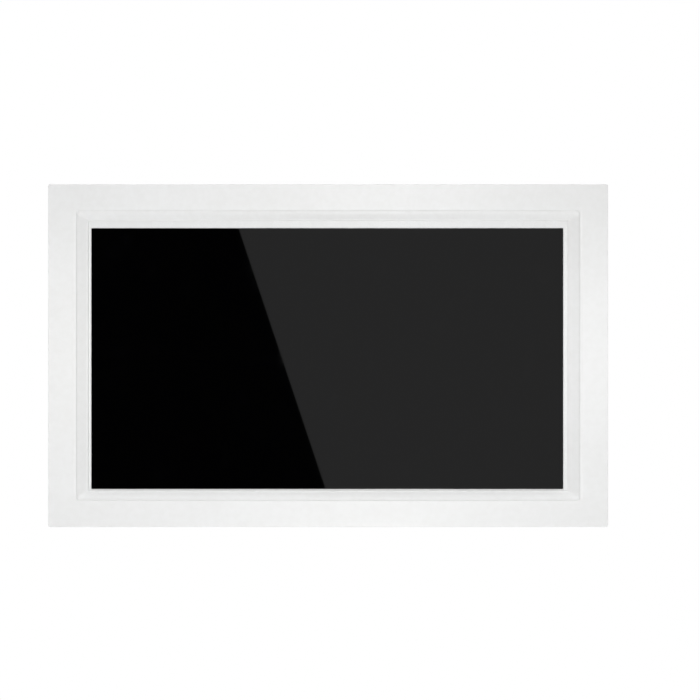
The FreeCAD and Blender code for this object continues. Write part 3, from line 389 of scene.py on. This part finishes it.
FLOOR_DEPTH, FLOOR_REACH, FLOOR_SIDES = 0.62, 1.7, 96
turns = np.linspace(0, 2 * np.pi, FLOOR_SIDES, endpoint=False)
rim = np.stack([FLOOR_REACH * np.cos(turns), FLOOR_REACH * np.sin(turns),
                np.full(FLOOR_SIDES, -FLOOR_DEPTH)], 1)
stage_panel("floor", rim.tolist(), floor_paint())

# %% [markdown]
# Polished black glass shows whatever is in front of it. So, as in any studio, a black flag stands
# there, and a grey card with a slanted edge on it gives the glass its one calm reflection. To put
# that edge in the right place, the camera's ray is followed to the glass and back to the card.

# %% Black flag and grey card
CARD_DISTANCE = 1200.0  # mm in front of the glass
FLAG_BEHIND_CARD = 5.0
CARD_SPARE = 130.0  # mm that card and flag go on beyond the glass, for other points of view
EDGE_TOP, EDGE_FOOT = (-44.4, 62.7), (-1.5, -65.9)  # mm on the glass: where the edge should show
CARD_GLOW = 0.46

glass_low, glass_high = place_of("cover_glass")
glass_front = -glass_low[1]


def on_card(x, z, nearer=0.0):
    """Where the camera's ray goes, in metres, once the glass has turned it back at (x, z) mm.

    The ray spreads from the aim by 1 + reach / (the camera's distance from the glass)."""
    reach = CARD_DISTANCE - nearer
    spread = 1 + reach / (CAMERA_DISTANCE + front - glass_front)
    across, up = AIM[0] + (x - AIM[0]) * spread, AIM[1] + (z - AIM[1]) * spread
    return across * MM, -(glass_front + reach) * MM, up * MM


def card_edge(z):
    """Where the card's slanted edge shows on the glass at height z: a straight line in z."""
    share = (z - EDGE_TOP[1]) / (EDGE_FOOT[1] - EDGE_TOP[1])
    return EDGE_TOP[0] + (EDGE_FOOT[0] - EDGE_TOP[0]) * share


def plain_glow(name, radiance):
    """A panel that gives an even light of its own."""
    recipe = Recipe(name)
    light = {"Color": paint(1.0), "Strength": radiance}
    glow = recipe.node("ShaderNodeEmission", {}, light)
    recipe.node("ShaderNodeOutputMaterial", {}, {"Surface": glow}, output=None)
    return recipe.material


right, top = glass_high[0] + CARD_SPARE, glass_high[2] + CARD_SPARE
card_corners = ((card_edge(top), top), (card_edge(-top), -top), (right, -top), (right, top))
flag_corners = ((-right, -top), (right, -top), (right, top), (-right, top))
flag = [on_card(x, z) for x, z in flag_corners]
card = [on_card(x, z, FLAG_BEHIND_CARD) for x, z in card_corners]
stage_panel("black_flag", flag, plain_glow("black_velvet", 0.0), reflections_only=True)
stage_panel("grey_card", card, plain_glow("grey_card", CARD_GLOW), reflections_only=True)

# %% [markdown]
# Two bright strips stand close to the monitor, one a little above its middle and one below. Only
# the flat face above and below the glass reflects them, as a soft sheen that grows from left to
# right. The strips' own colour carries that change, and their strength is one number.

# %% Two sheen cards
GLOW_FROM, GLOW_PEAK, GLOW_TO = -100, 52, 66  # mm, sideways
GLOW_STRENGTH, GLOW_CURVE = 9.0, 1.6
SHEEN_AWAY, SHEEN_LOW, SHEEN_HIGH = 0.27, 0.088, 0.130  # metres in front, and up or down


def sheen_glow():
    """A glow that rises slowly from left to right, and ends quickly after its peak.

    It is the share of the way from GLOW_FROM to GLOW_PEAK, to the power GLOW_CURVE."""
    recipe = Recipe("sheen_glow")
    x, _, _ = recipe.axes()
    share = ((x - GLOW_FROM) / (GLOW_PEAK - GLOW_FROM)).clamp()
    light = {"Color": recipe.mix(share ** GLOW_CURVE, 0.0, 1.0), "Strength": GLOW_STRENGTH}
    glow = recipe.node("ShaderNodeEmission", {}, light)
    recipe.node("ShaderNodeOutputMaterial", {}, {"Surface": glow}, output=None)
    return recipe.material


sheen = sheen_glow()
for end in (1, -1):
    low, high, left, right = SHEEN_LOW * end, SHEEN_HIGH * end, GLOW_FROM * MM, GLOW_TO * MM
    outline = ((left, low), (right, low), (right, high), (left, high))
    corners = [(x, -SHEEN_AWAY, z) for x, z in outline]
    stage_panel(f"sheen_card_{end}", corners, sheen, reflections_only=True)

# %% [markdown]
# ## Surfaces from arrays
# Each new piece is a grid of points: a profile carried round a path. The whole grid is one array
# expression, and its faces are worked out from the row and column numbers.


# %% From a grid of points to a piece
def grid_faces(rows, columns, wrap_rows, wrap_columns):
    """The four corner numbers of each face of a grid, with either direction closed on itself."""
    r = np.arange(rows if wrap_rows else rows - 1)[:, None]
    c = np.arange(columns if wrap_columns else columns - 1)[None, :]
    r2, c2 = (r + 1) % rows, (c + 1) % columns
    corners = [r * columns + c, r * columns + c2, r2 * columns + c2, r2 * columns + c]
    size = (r.shape[0], c.shape[1])
    return np.stack([np.broadcast_to(corner, size) for corner in corners], -1).reshape(-1, 4)


def make_piece(name, points, faces, smooth_angle=32.0, merge=0.0):
    """A mesh object from points in millimetres and four-cornered faces, facing outwards."""
    mesh = bpy.data.meshes.new(name)
    mesh.vertices.add(len(points))
    mesh.vertices.foreach_set("co", (np.asarray(points, np.float32) * MM).ravel())
    mesh.loops.add(faces.size)
    mesh.loops.foreach_set("vertex_index", faces.astype(np.int32).ravel())
    mesh.polygons.add(len(faces))
    starts = np.arange(0, faces.size, faces.shape[1], dtype=np.int32)
    mesh.polygons.foreach_set("loop_start", starts)
    mesh.update(calc_edges=True)
    shape = bmesh.new()
    shape.from_mesh(mesh)
    if merge:
        bmesh.ops.remove_doubles(shape, verts=shape.verts, dist=merge * MM)
        bmesh.ops.dissolve_degenerate(shape, edges=shape.edges, dist=merge * MM)
    bmesh.ops.recalc_face_normals(shape, faces=shape.faces)
    shape.to_mesh(mesh)
    shape.free()
    mesh.polygons.foreach_set("use_smooth", np.ones(len(mesh.polygons), bool))
    mesh.set_sharp_from_angle(angle=math.radians(smooth_angle))
    piece = bpy.data.objects.new(name, mesh)
    bpy.context.scene.collection.objects.link(piece)
    print(f"{name}: {len(mesh.polygons)} faces")
    return piece


def join_parts(parts):
    """Several (points, faces) pairs as one pair, each part's faces moved on past those before."""
    offsets = np.cumsum([0] + [len(points) for points, _ in parts[:-1]])
    points = np.concatenate([points for points, _ in parts])
    faces = np.concatenate([faces + offset for (_, faces), offset in zip(parts, offsets)])
    return points, faces


# %% [markdown]
# Nearly everything on a monitor is a rounded rectangle, so one function makes a stack of them. A
# second rounds the corners of a profile, as the real tool's cutter does.

# %% Rounded rectangles and rounded profiles
HOLD = 0.0006  # share of a side's length between a corner and the point that keeps the side flat


def rings(profile, per_corner=8, per_side=8, centre=(0.0, 0.0)):
    """Rounded rectangles, one for each row (half width, half height, corner radius, depth).

    A point is a corner centre, or a point between two corner centres, plus the corner radius
    turned by the angle of that place. The corner centres are the half sizes less the radius. Each
    side's first and last points lie close to its corners, so that smooth shading stays flat."""
    half_x, half_z, radius, depth = (column[:, None] for column in np.asarray(profile, float).T)
    along = np.concatenate([np.zeros(per_corner), np.linspace(HOLD, 1 - HOLD, per_side)])
    quarter = np.concatenate([np.linspace(0, 1, per_corner), np.ones(per_side)]) * np.pi / 2
    signs = np.array([[1, 1], [-1, 1], [-1, -1], [1, -1]], float)
    following = np.roll(signs, -1, axis=0)
    blend = signs[:, None, :] + (following - signs)[:, None, :] * along[None, :, None]
    angle = (np.arange(4)[:, None] * np.pi / 2 + quarter[None, :]).ravel()
    across, up = blend.reshape(-1, 2).T
    x = centre[0] + across * (half_x - radius) + radius * np.cos(angle)
    z = centre[1] + up * (half_z - radius) + radius * np.sin(angle)
    return np.stack([x, np.broadcast_to(-depth, x.shape), z], -1)


def soften(stations, cuts, steps=6, hold=0.03):
    """Rounds the corners of a profile: each listed station becomes a short curve.

    The curve runs from a point cut millimetres before the station to one as far after it, and is
    (1-s)^2 start + 2 s (1-s) station + s^2 end. One more point stands hold millimetres outside each
    end, so that smooth shading stays flat beyond it."""
    rows = []
    for index, here in enumerate(stations):
        cut = cuts.get(index, 0.0)
        if not cut:
            rows.append(here[None, :])
            continue
        before, after = stations[index - 1], stations[(index + 1) % len(stations)]
        back_way = (before - here) / np.linalg.norm((before - here)[[0, 3]])
        on_way = (after - here) / np.linalg.norm((after - here)[[0, 3]])
        s = np.linspace(0, 1, steps)[:, None]
        start, end = here + back_way * cut, here + on_way * cut
        curve = (1 - s) ** 2 * start + 2 * s * (1 - s) * here + s ** 2 * end
        first, last = here + back_way * (cut + hold), here + on_way * (cut + hold)
        rows += [first[None, :], curve, last[None, :]]
    return np.concatenate(rows)


print(f"a ring of {rings([(2, 1, 0.5, 0)]).shape[1]} points")

# %% [markdown]
# ## The moulding
# The real one is injection moulded in one piece. Its face is flat for some 13 mm, bends down a
# little, and drops over a small step. From there it falls inwards in a slope, straight at the sides
# and steepening at top and bottom, and it ends in a short steep edge over the front shell. It could
# be modelled by hand with bevels, but a profile swept round four rounded-rectangle corners says
# exactly what the real section is, and keeps the mitres crisp. The slope is narrower at top and
# bottom than at the sides, so every station of the profile has an inset of its own for each.

# %% The moulding's section
# Insets in mm, at the two sides and at the two ends (top and bottom)
FACE_SIDE, FACE_END = 7.0, 6.7  # middle of the flat face
FLAT_SIDE, FLAT_END = 12.5, 12.9  # where the flat face ends
STEP_SIDE, STEP_END = 13.78, 13.35  # top of the step
HEAD_SIDE, HEAD_END = 14.25, 13.5  # foot of the step, and head of the slope
COVE_SIDE, COVE_END = 19.2, 17.5  # foot of the slope
EDGE_SIDE, EDGE_END = 19.52, 17.94  # top of the steep edge
LIP_SIDE, LIP_END = 20.0, 18.3  # the opening
SEAT_SIDE, SEAT_END = 17.8, 16.1  # where the back sits on the front shell
POCKET, WALL = 12.5, 2.8  # room for the shell's rim, and the outer wall
# Drops from the flat face, and places in mm from the wall
BEND_DROP, STEP_DROP, COVE_DROP, EDGE_RISE, SKIN = 0.27, 0.8, 2.7, 0.02, 2.4
LIP_BACK, SHELL_RIM = 21.75, 21.2
OUTER_CORNER, STEP_CORNER, HEAD_CORNER, COVE_CORNER = 0.8, 1.5, 1.6, 0.5
EDGE_CORNER, INNER_CORNER = 0.4, 0.3
BACK_ROUND, FRONT_ROUND, BEND_ROUND, STEP_ROUND = 0.4, 0.35, 0.2, 0.12
EDGE_ROUND, LIP_ROUND = 0.06, 0.05
END_POWER = 0.65


def station(side, end, radius, depth):
    """A profile point: the half sizes less the insets, the corner radius, and the depth."""
    return np.array([half_width - side, half_height - end, radius, depth])


def moulding_section():
    """Stations round the moulding's section, from the back edge of its outer face.

    Along the slope, t runs from 0 to 1. The inset at the sides and the depth grow as t, and the
    inset at top and bottom as t to END_POWER: the sides are straight and the ends steepen."""
    foot = front - STEP_DROP
    outside = soften([
        station(0.0, 0.0, OUTER_CORNER, back),
        station(0.0, 0.0, OUTER_CORNER, front),
        station(FACE_SIDE, FACE_END, OUTER_CORNER, front),
        station(FLAT_SIDE, FLAT_END, STEP_CORNER, front),
        station(STEP_SIDE, STEP_END, STEP_CORNER, front - BEND_DROP),
        station(HEAD_SIDE, HEAD_END, HEAD_CORNER, foot),
    ], {0: BACK_ROUND, 1: FRONT_ROUND, 3: BEND_ROUND, 4: STEP_ROUND})
    t = np.linspace(0, 1, 16)[1:-1]
    slope = np.stack([
        half_width - HEAD_SIDE - (COVE_SIDE - HEAD_SIDE) * t,
        half_height - HEAD_END - (COVE_END - HEAD_END) * t ** END_POWER,
        HEAD_CORNER - (HEAD_CORNER - COVE_CORNER) * t,
        foot - COVE_DROP * t,
    ], -1)
    inside = soften([
        station(EDGE_SIDE, EDGE_END, EDGE_CORNER, foot - COVE_DROP + EDGE_RISE),
        station(LIP_SIDE, LIP_END, INNER_CORNER, LIP_BACK),
        station(SEAT_SIDE, SEAT_END, INNER_CORNER, LIP_BACK),
        station(SEAT_SIDE, SEAT_END, INNER_CORNER, SHELL_RIM),
        station(POCKET, POCKET, INNER_CORNER, SHELL_RIM),
        station(POCKET, POCKET, INNER_CORNER, front - SKIN),
        station(WALL, WALL, INNER_CORNER, front - SKIN),
        station(WALL, WALL, INNER_CORNER, back),
    ], {0: EDGE_ROUND, 1: LIP_ROUND})
    return np.concatenate([outside, slope, inside])


grid = rings(moulding_section())
face = (grid.reshape(-1, 3), grid_faces(*grid.shape[:2], True, True))
print(f"{grid.shape[0]} stations round the section")

# %% [markdown]
# Behind its face a moulding is never a plain tray. Posts with blind holes take the screws that hold
# it to the front shell, and thin ribs keep the long bars straight while the plastic cools. They are
# stacks of rings too, each closed at both ends by a ring so small that merging makes it a point.

# %% Ribs and screw bosses behind the moulding's face
BOSS_RADIUS, PILOT_RADIUS, RIB_HALF, RIB_CORNER = 2.6, 0.8, 0.6, 0.05
RIB_BACK, RIB_FRONT, PILOT_END = 17.2, 24.0, 22.0  # mm from the wall
SCREW_SIDE, SCREW_END = 133.7, 79.7  # mm from the middle
SCREWS_UP, SCREWS_ACROSS = (-60, 0, 60), (-110, -40, 40, 110)
SIDE_BAR, END_BAR = (127.5, 136.9), (75.0, 82.9)  # where ribs run, from the middle outwards
RIBS_UP, RIBS_ACROSS = range(-45, 46, 30), range(-120, 121, 20)
POINT = 0.002  # half the size of a ring that becomes a point


def stacked(profile, centre, per_corner=6, per_side=1):
    """A closed shape from a stack of rings round a centre, whose first and last are points."""
    stack = rings(profile, per_corner, per_side, centre)
    return stack.reshape(-1, 3), grid_faces(*stack.shape[:2], False, True)


def boss(x, z):
    """A round post with a blind hole for a screw: circles of these radii at these depths."""
    turned = ((POINT, RIB_FRONT), (BOSS_RADIUS, RIB_FRONT), (BOSS_RADIUS, RIB_BACK),
              (PILOT_RADIUS, RIB_BACK), (PILOT_RADIUS, PILOT_END), (POINT, PILOT_END))
    return stacked([(radius, radius, radius, depth) for radius, depth in turned], (x, z))


def rib(left, right, low, high):
    """A thin upright block between four edges."""
    half_x, half_z = (right - left) / 2, (high - low) / 2
    profile = [(POINT, POINT, POINT / 2, RIB_FRONT), (half_x, half_z, RIB_CORNER, RIB_FRONT),
               (half_x, half_z, RIB_CORNER, RIB_BACK), (POINT, POINT, POINT / 2, RIB_BACK)]
    return stacked(profile, ((left + right) / 2, (low + high) / 2), 3, 2)


def mirrored(span, sign):
    """The two edges of a span on the positive or the negative side, the lower one first."""
    return sorted(sign * edge for edge in span)


bosses = [boss(SCREW_SIDE * side, z) for side in (1, -1) for z in SCREWS_UP]
bosses += [boss(x, SCREW_END * end) for end in (1, -1) for x in SCREWS_ACROSS]
ribs = [rib(x - RIB_HALF, x + RIB_HALF, *mirrored(END_BAR, end))
        for end in (1, -1) for x in RIBS_ACROSS]
ribs += [rib(*mirrored(SIDE_BAR, side), z - RIB_HALF, z + RIB_HALF)
         for side in (1, -1) for z in RIBS_UP]
print(f"{len(bosses)} bosses and {len(ribs)} ribs")

# %% The moulding in one piece
MERGE = 0.004  # mm: points nearer than this become one
moulding = make_piece("moulding", *join_parts([face, *bosses, *ribs]), smooth_angle=40, merge=MERGE)
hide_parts("decor_frame")
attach(moulding, "monitor")

# %% [markdown]
# ## The glass
# Cover glass is cut, ground and polished: its edge is a small quarter round, not a sharp corner,
# and that edge is what catches the light. The faces are closed by letting the rounded rectangle
# shrink to the line along its middle, so there is no pole and no loose edge.

# %% The cover glass
GLASS_ROUND, GLASS_CORNER, SHRINK_STEPS = 0.2, 0.6, 8
KEEP_FLAT = 0.02  # mm between an edge and the ring that keeps its shading flat


def slab(low, high, corner, rounding, steps=6):
    """A plate with rounded corners, and a quarter-round edge all round its front.

    Each ring of the edge lies rounding * (1 - cos a) in from the side and rounding * (1 - sin a)
    behind the front, for a from 0 to 90 degrees. The rings of the front and back shrink to a line:
    both half sizes lose the same share k of the half height, with k from 0 to 1."""
    centre, half = (low + high) / 2, (high - low) / 2
    near, far = -low[1], -high[1]
    angles = np.linspace(0, math.pi / 2, steps)
    drops, insets = rounding * (1 - np.sin(angles)), rounding * (1 - np.cos(angles))
    edge = [(half[0] - inset, half[2] - inset, corner, near - drop)
            for inset, drop in zip(insets, drops)]
    shares = [0.001, *np.linspace(0.02, 1, SHRINK_STEPS)]

    def shrinking(width, height, depth, order):
        return [(width - height * k, height - height * k, max(corner * (1 - k), 1e-6), depth)
                for k in order]

    side = (half[0], half[2], corner)
    front_rings = shrinking(half[0] - rounding, half[2] - rounding, near, shares)
    back_rings = shrinking(half[0], half[2], far, shares[::-1])
    sides = [(*side, far), (*side, far + KEEP_FLAT), (*side, near - rounding - KEEP_FLAT)]
    stack = rings(back_rings + sides + edge + front_rings, 6, 10, (centre[0], centre[2]))
    return stack.reshape(-1, 3), grid_faces(*stack.shape[:2], False, True)


glass_mesh = slab(glass_low, glass_high, GLASS_CORNER, GLASS_ROUND)
glass = make_piece("screen_glass", *glass_mesh, merge=MERGE)
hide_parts("cover_glass")
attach(glass, "monitor")

# %% [markdown]
# ## The seal round the glass
# Between the glass and the window it lies in there is a gap of a hair's width, filled from behind
# with a white sealant so that no dust gets in. Its face slopes from the window's edge down to the
# glass, and shows as a thin bright line. The gap is too narrow to model by hand, but as a profile
# carried round the same rounded rectangle it is one call.

# %% The seal
SEAL_SLACK, SEAL_WIDTH, SEAL_DEPTH, SEAL_RISE = 0.01, 0.15, 1.2, 0.27
SEAL_POWER = 0.7
glass_centre, glass_half = (glass_low + glass_high) / 2, (glass_high - glass_low) / 2


def seal_ring(out, depth):
    """One ring of the seal, out millimetres outside the glass."""
    return glass_half[0] + out, glass_half[2] + out, GLASS_CORNER + out, depth


def seal_section():
    """The seal's section: a face that rises outwards as t to SEAL_POWER, on two upright sides."""
    t = np.linspace(0.02, 1, 5)
    outs = SEAL_SLACK + (SEAL_WIDTH - 2 * SEAL_SLACK) * t
    depths = glass_front + SEAL_RISE * t ** SEAL_POWER
    slope = [seal_ring(out, depth) for out, depth in zip(outs, depths)]
    inner = [seal_ring(SEAL_SLACK, glass_front - SEAL_DEPTH),
             seal_ring(SEAL_SLACK, glass_front - KEEP_FLAT)]
    return [*inner, *slope, seal_ring(SEAL_WIDTH - SEAL_SLACK, glass_front - SEAL_DEPTH)]


seal_grid = rings(seal_section(), 6, 10, (glass_centre[0], glass_centre[2]))
seal_faces = grid_faces(*seal_grid.shape[:2], True, True)
seal = make_piece("glass_seal", seal_grid.reshape(-1, 3), seal_faces, smooth_angle=50)
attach(seal, "monitor")

# %% [markdown]
# ## Plastics
# Moulded plastic is never one flat colour. The white housing has a faint warm and cool drift from
# the way the melt flowed, a very fine texture that the tool left, and places where hands have made
# it a little shinier. All of that is quiet: it should be felt more than seen.


# %% Moulded plastics
def moulded(name, colour, gloss, grain=0.35, grain_depth=0.004, drift=0.012):
    """Injection moulded plastic with a fine tool texture.

    Roughness is the gloss, less a little where it has been touched, plus a little in each grain."""
    recipe = Recipe(name)
    flow = recipe.noise(60.0, detail=3, stretch=(1.6, 1, 1))
    mottle = recipe.noise(3.0, detail=3, roughness=0.6)
    speck = recipe.cells(grain)
    touched = recipe.noise(22.0, detail=4, roughness=0.6).smooth(0.45, 0.75)
    warm = (colour[0], colour[1] * 0.997, colour[2] * 0.99)
    blend = 0.5 * flow.smooth(0.35, 0.65) + 0.5 * mottle.smooth(0.3, 0.7)
    base = recipe.mix(blend, tint(warm, 1 - drift), tint(colour, 1 + drift * 0.5))
    wavy = recipe.bump(recipe.noise(2.4, detail=2), 0.006)
    grainy = recipe.bump(speck, grain_depth, wavy)
    return recipe.finish(base, gloss - 0.05 * touched + 0.03 * speck, normal=grainy, ior=1.49)


white_plastic = moulded("white_plastic", (0.805, 0.802, 0.80), 0.33, drift=0.03)
shell_plastic = moulded("shell_plastic", (0.79, 0.79, 0.789), 0.26)
cover_plastic = moulded("cover_plastic", (0.79, 0.792, 0.794), 0.55, grain=0.8, grain_depth=0.02)
print("three white plastics")

# %% [markdown]
# The screen is off, so the glass is a mirror over black ink. It would look like a hole without a
# trace of use, so a few fingertip smudges change its shine by a hair.


# %% Black glass
def black_ink_glass():
    """Cover glass with black ink behind it: deep, clean, and with a trace of fingertips."""
    recipe = Recipe("black_glass")
    smudge = recipe.noise(9.0, detail=5, roughness=0.65, stretch=(1, 1, 1.7)).smooth(0.55, 0.8)
    streak = recipe.noise(1.2, detail=2, stretch=(6, 1, 1))
    base = recipe.mix(smudge, (0.0004, 0.0004, 0.0005), (0.0012, 0.0012, 0.0014))
    return recipe.finish(base, 0.012 + 0.03 * smudge * streak, ior=1.5)


black_glass = black_ink_glass()
print("black glass")

# %% [markdown]
# ## Metals
# Three sorts of metal are in a monitor. Pressed sheet has the faint lines of the mill it was rolled
# in. The wall plate is galvanised, and zinc sets in flat crystals, each of which shines its own
# way. Screws and pins are small and plated, so they only need a little grain.


# %% Sheet, plate and screws
def rolled_sheet(name, colour, roughness, stretch=(30, 1, 1)):
    """Sheet metal with rolling lines along one direction.

    It is rougher in the lines, and a little smoother where it is stained."""
    recipe = Recipe(name)
    lines = recipe.noise(0.6, detail=4, roughness=0.7, stretch=stretch)
    stain = recipe.noise(25.0, detail=3)
    base = recipe.mix(stain, tint(colour, 0.9), tint(colour, 1.06))
    shine = roughness + 0.14 * lines - 0.05 * stain
    return recipe.finish(base, shine, 1.0, recipe.bump(lines, 0.002))


def galvanised():
    """Zinc spangle: crystals a few millimetres across, each with its own brightness and shine."""
    recipe = Recipe("galvanised_steel")
    crystal = recipe.cells(7.0, "Color")
    shade, shine, _ = recipe.node("ShaderNodeSeparateColor", {}, [crystal], output=None)
    feather = recipe.noise(1.0, detail=4, roughness=0.7, stretch=(3, 1, 1))
    blend = (0.75 * shade + 0.25 * feather).clamp()
    base = recipe.mix(blend, (0.42, 0.435, 0.45), (0.68, 0.69, 0.7))
    height = recipe.bump(0.6 * shade + 0.4 * feather, 0.012)
    return recipe.finish(base, 0.30 + 0.18 * shine + 0.08 * feather, 1.0, height)


plate_steel = galvanised()
print("galvanised plate")

# %% [markdown]
# ## Circuit boards
# A board is glass cloth in resin under green lacquer. The copper tracks underneath show as slightly
# lighter, slightly raised lines that run along the board's two directions, with round plated holes
# where they change sides. Dividing the board into small squares, and letting chance choose which
# way the track crosses each one, gives that look from a few lines of arithmetic.

# %% Boards
TRACK_PITCH, TRACK_HALF, HOLE_RADIUS = 1.3, 0.16, 0.24  # mm, then shares of the pitch


def circuit(name, lacquer):
    """Lacquered board with tracks and plated holes, worked out square by square.

    A track is where a square's middle line is near and the chance of its run of squares is high. A
    hole is where the distance from the square's middle is small and both chances are high."""
    recipe = Recipe(name)
    x, _, z = recipe.axes()
    across, up = x / TRACK_PITCH, z / TRACK_PITCH
    run = recipe.node("ShaderNodeCombineXYZ", {}, [(across / 3).floor(), 0.0, up.floor()])
    chance = recipe.node("ShaderNodeTexWhiteNoise", {}, {"Vector": run})
    climb = recipe.node("ShaderNodeCombineXYZ", {}, [across.floor(), 7.0, (up / 4).floor()])
    chance_up = recipe.node("ShaderNodeTexWhiteNoise", {}, {"Vector": climb})
    off_x, off_z = across.fraction() - 0.5, up.fraction() - 0.5
    level = (abs(off_z) < TRACK_HALF) * (chance > 0.45)
    upright = (abs(off_x) < TRACK_HALF) * (chance_up > 0.6)
    track = (level + upright).clamp()
    from_middle = (off_x * off_x + off_z * off_z) ** 0.5
    hole = (from_middle < HOLE_RADIUS) * (chance > 0.8) * (chance_up > 0.5)
    cloth = recipe.noise(0.5, detail=1)
    green = recipe.mix(cloth * 0.3 + track * 0.7, lacquer, tint(lacquer, 2.1))
    base = recipe.mix(hole, green, (0.72, 0.62, 0.4))
    height = recipe.bump((track + hole).clamp() + 0.1 * cloth, 0.03)
    return recipe.finish(base, 0.3 + 0.1 * cloth, hole * 0.9, height)


boards = {
    "board_white": circuit("board_white", (0.4, 0.4, 0.38)),
    "board_green": circuit("board_green", (0.006, 0.075, 0.026)),
}
print(f"{len(boards)} kinds of board")

# %% [markdown]
# ## The small stuff
# Inside are chips, sockets, cans, foam, films and leads. Each has its own colour and sheen, but
# they fall into a few families, so each family is one function with the differences as arguments.


# %% Families of small parts
def soft_matter(name, colour, pores=0.5, depth=0.05, roughness=0.85):
    """Foam or rubber, with pores or a dusty skin."""
    recipe = Recipe(name)
    pore = recipe.cells(pores)
    dust = recipe.noise(5.0, detail=4).smooth(0.4, 0.8)
    base = recipe.mix(dust, colour, tint(colour, 1.8))
    return recipe.finish(base, roughness + 0.1 * dust, normal=recipe.bump(pore, depth))


def printed(name, colour, roughness, speckle=0.4, depth=0.004, contrast=0.12):
    """Small moulded, coated or sleeved parts with a fine grain."""
    recipe = Recipe(name)
    grain = recipe.noise(speckle, detail=3, roughness=0.6)
    patch = recipe.noise(8.0, detail=2)
    blend = (0.5 * grain + 0.5 * patch).smooth(0.3, 0.7)
    base = recipe.mix(blend, tint(colour, 1 - contrast), tint(colour, 1 + contrast))
    return recipe.finish(base, roughness + 0.1 * grain, normal=recipe.bump(grain, depth))


def ribbon(name, colour, pitch=1.0):
    """Flat cable: amber film with copper lines under it, one in each pitch."""
    recipe = Recipe(name)
    x, _, _ = recipe.axes()
    line = abs((x / pitch).fraction() - 0.5).smooth(0.18, 0.26)
    film = recipe.noise(3.0, detail=2)
    base = recipe.mix(line, tint(colour, 1.5), tint(colour, 0.8))
    return recipe.finish(base, 0.25 + 0.15 * film, normal=recipe.bump(1 - line, 0.02))


print("foam, grain and ribbon")

# %% [markdown]
# Now every finish in the design's list gets its material. The colours follow what such parts are
# made of: nylon is cream, ferrite is charcoal, and the tape round a transformer is amber.

# %% Finishes by their slot
finishes = {
    **boards,
    "shell_plastic": shell_plastic,
    "cover_plastic": cover_plastic,
    "black_foam": soft_matter("black_foam", (0.02, 0.02, 0.02)),
    "sensor_glass": printed("sensor_glass", (0.03, 0.03, 0.035), 0.08, speckle=4.0, depth=0.0005),
    "lcd_glass": printed("lcd_glass", (0.02, 0.02, 0.024), 0.12, speckle=0.3, depth=0.0005),
    "flex_film": ribbon("flex_film", (0.45, 0.2, 0.035)),
    "sheet_steel": rolled_sheet("sheet_steel", (0.62, 0.63, 0.64), 0.28),
    "screw_steel": rolled_sheet("screw_steel", (0.55, 0.55, 0.56), 0.25, stretch=(1, 1, 1)),
    "galvanised_steel": plate_steel,
    "light_guide": printed("light_guide", (0.82, 0.84, 0.83), 0.2, speckle=1.2, contrast=0.04),
    "clear_film": printed("clear_film", (0.6, 0.62, 0.6), 0.3, speckle=6.0, contrast=0.06),
    "brass": rolled_sheet("brass", (0.72, 0.55, 0.24), 0.28, stretch=(1, 30, 1)),
    "chip_black": printed("chip_black", (0.022, 0.022, 0.024), 0.5, speckle=0.15),
    "aluminium": rolled_sheet("aluminium", (0.75, 0.76, 0.77), 0.32),
    "ferrite": printed("ferrite", (0.06, 0.06, 0.065), 0.65, speckle=0.3, depth=0.02),
    "relay_blue": printed("relay_blue", (0.02, 0.09, 0.33), 0.35),
    "cell_steel": rolled_sheet("cell_steel", (0.68, 0.68, 0.69), 0.22, stretch=(1, 1, 30)),
    "socket_nylon": printed("socket_nylon", (0.78, 0.75, 0.66), 0.5, contrast=0.04),
    "tinned_pins": rolled_sheet("tinned_pins", (0.78, 0.77, 0.74), 0.2, stretch=(1, 20, 1)),
    "terminal_green": printed("terminal_green", (0.03, 0.26, 0.1), 0.42),
    "transformer_tape": printed("transformer_tape", (0.72, 0.52, 0.05), 0.3, speckle=2.0),
    "capacitor_sleeve": printed("capacitor_sleeve", (0.03, 0.03, 0.035), 0.3),
    "ceramic": printed("ceramic", (0.76, 0.74, 0.68), 0.35, contrast=0.05),
    "switch_black": printed("switch_black", (0.03, 0.03, 0.032), 0.45, speckle=0.25, depth=0.01),
    "card_black": printed("card_black", (0.025, 0.025, 0.028), 0.4, speckle=0.2),
    "basket_black": printed("basket_black", (0.03, 0.03, 0.03), 0.35, speckle=0.8),
    "magnet_plated": rolled_sheet("magnet_plated", (0.6, 0.6, 0.61), 0.2, stretch=(1, 1, 1)),
    "cone_paper": soft_matter("cone_paper", (0.03, 0.029, 0.028), pores=0.25, depth=0.02),
    "soft_rubber": soft_matter("soft_rubber", (0.03, 0.03, 0.03), 0.2, 0.008, roughness=0.7),
    "wire_brown": printed("wire_brown", (0.13, 0.05, 0.02), 0.45, contrast=0.08),
    "wire_red": printed("wire_red", (0.4, 0.02, 0.02), 0.42, contrast=0.08),
    "wire_black": printed("wire_black", (0.02, 0.02, 0.02), 0.45, contrast=0.08),
}
print(len(finishes), "finishes for the design nodes")

# %% Every piece and every design node gets its finish
moulding.data.materials.append(white_plastic)
seal.data.materials.append(shell_plastic)
glass.data.materials.append(black_glass)
finished = 0
for part in frame["record"]["subparts"]:
    if part["material_slot"] in finishes:
        mesh = nodes[part["node"]].data
        mesh.materials.clear()
        mesh.materials.append(finishes[part["material_slot"]])
        finished += 1
print(finished, "design nodes finished")
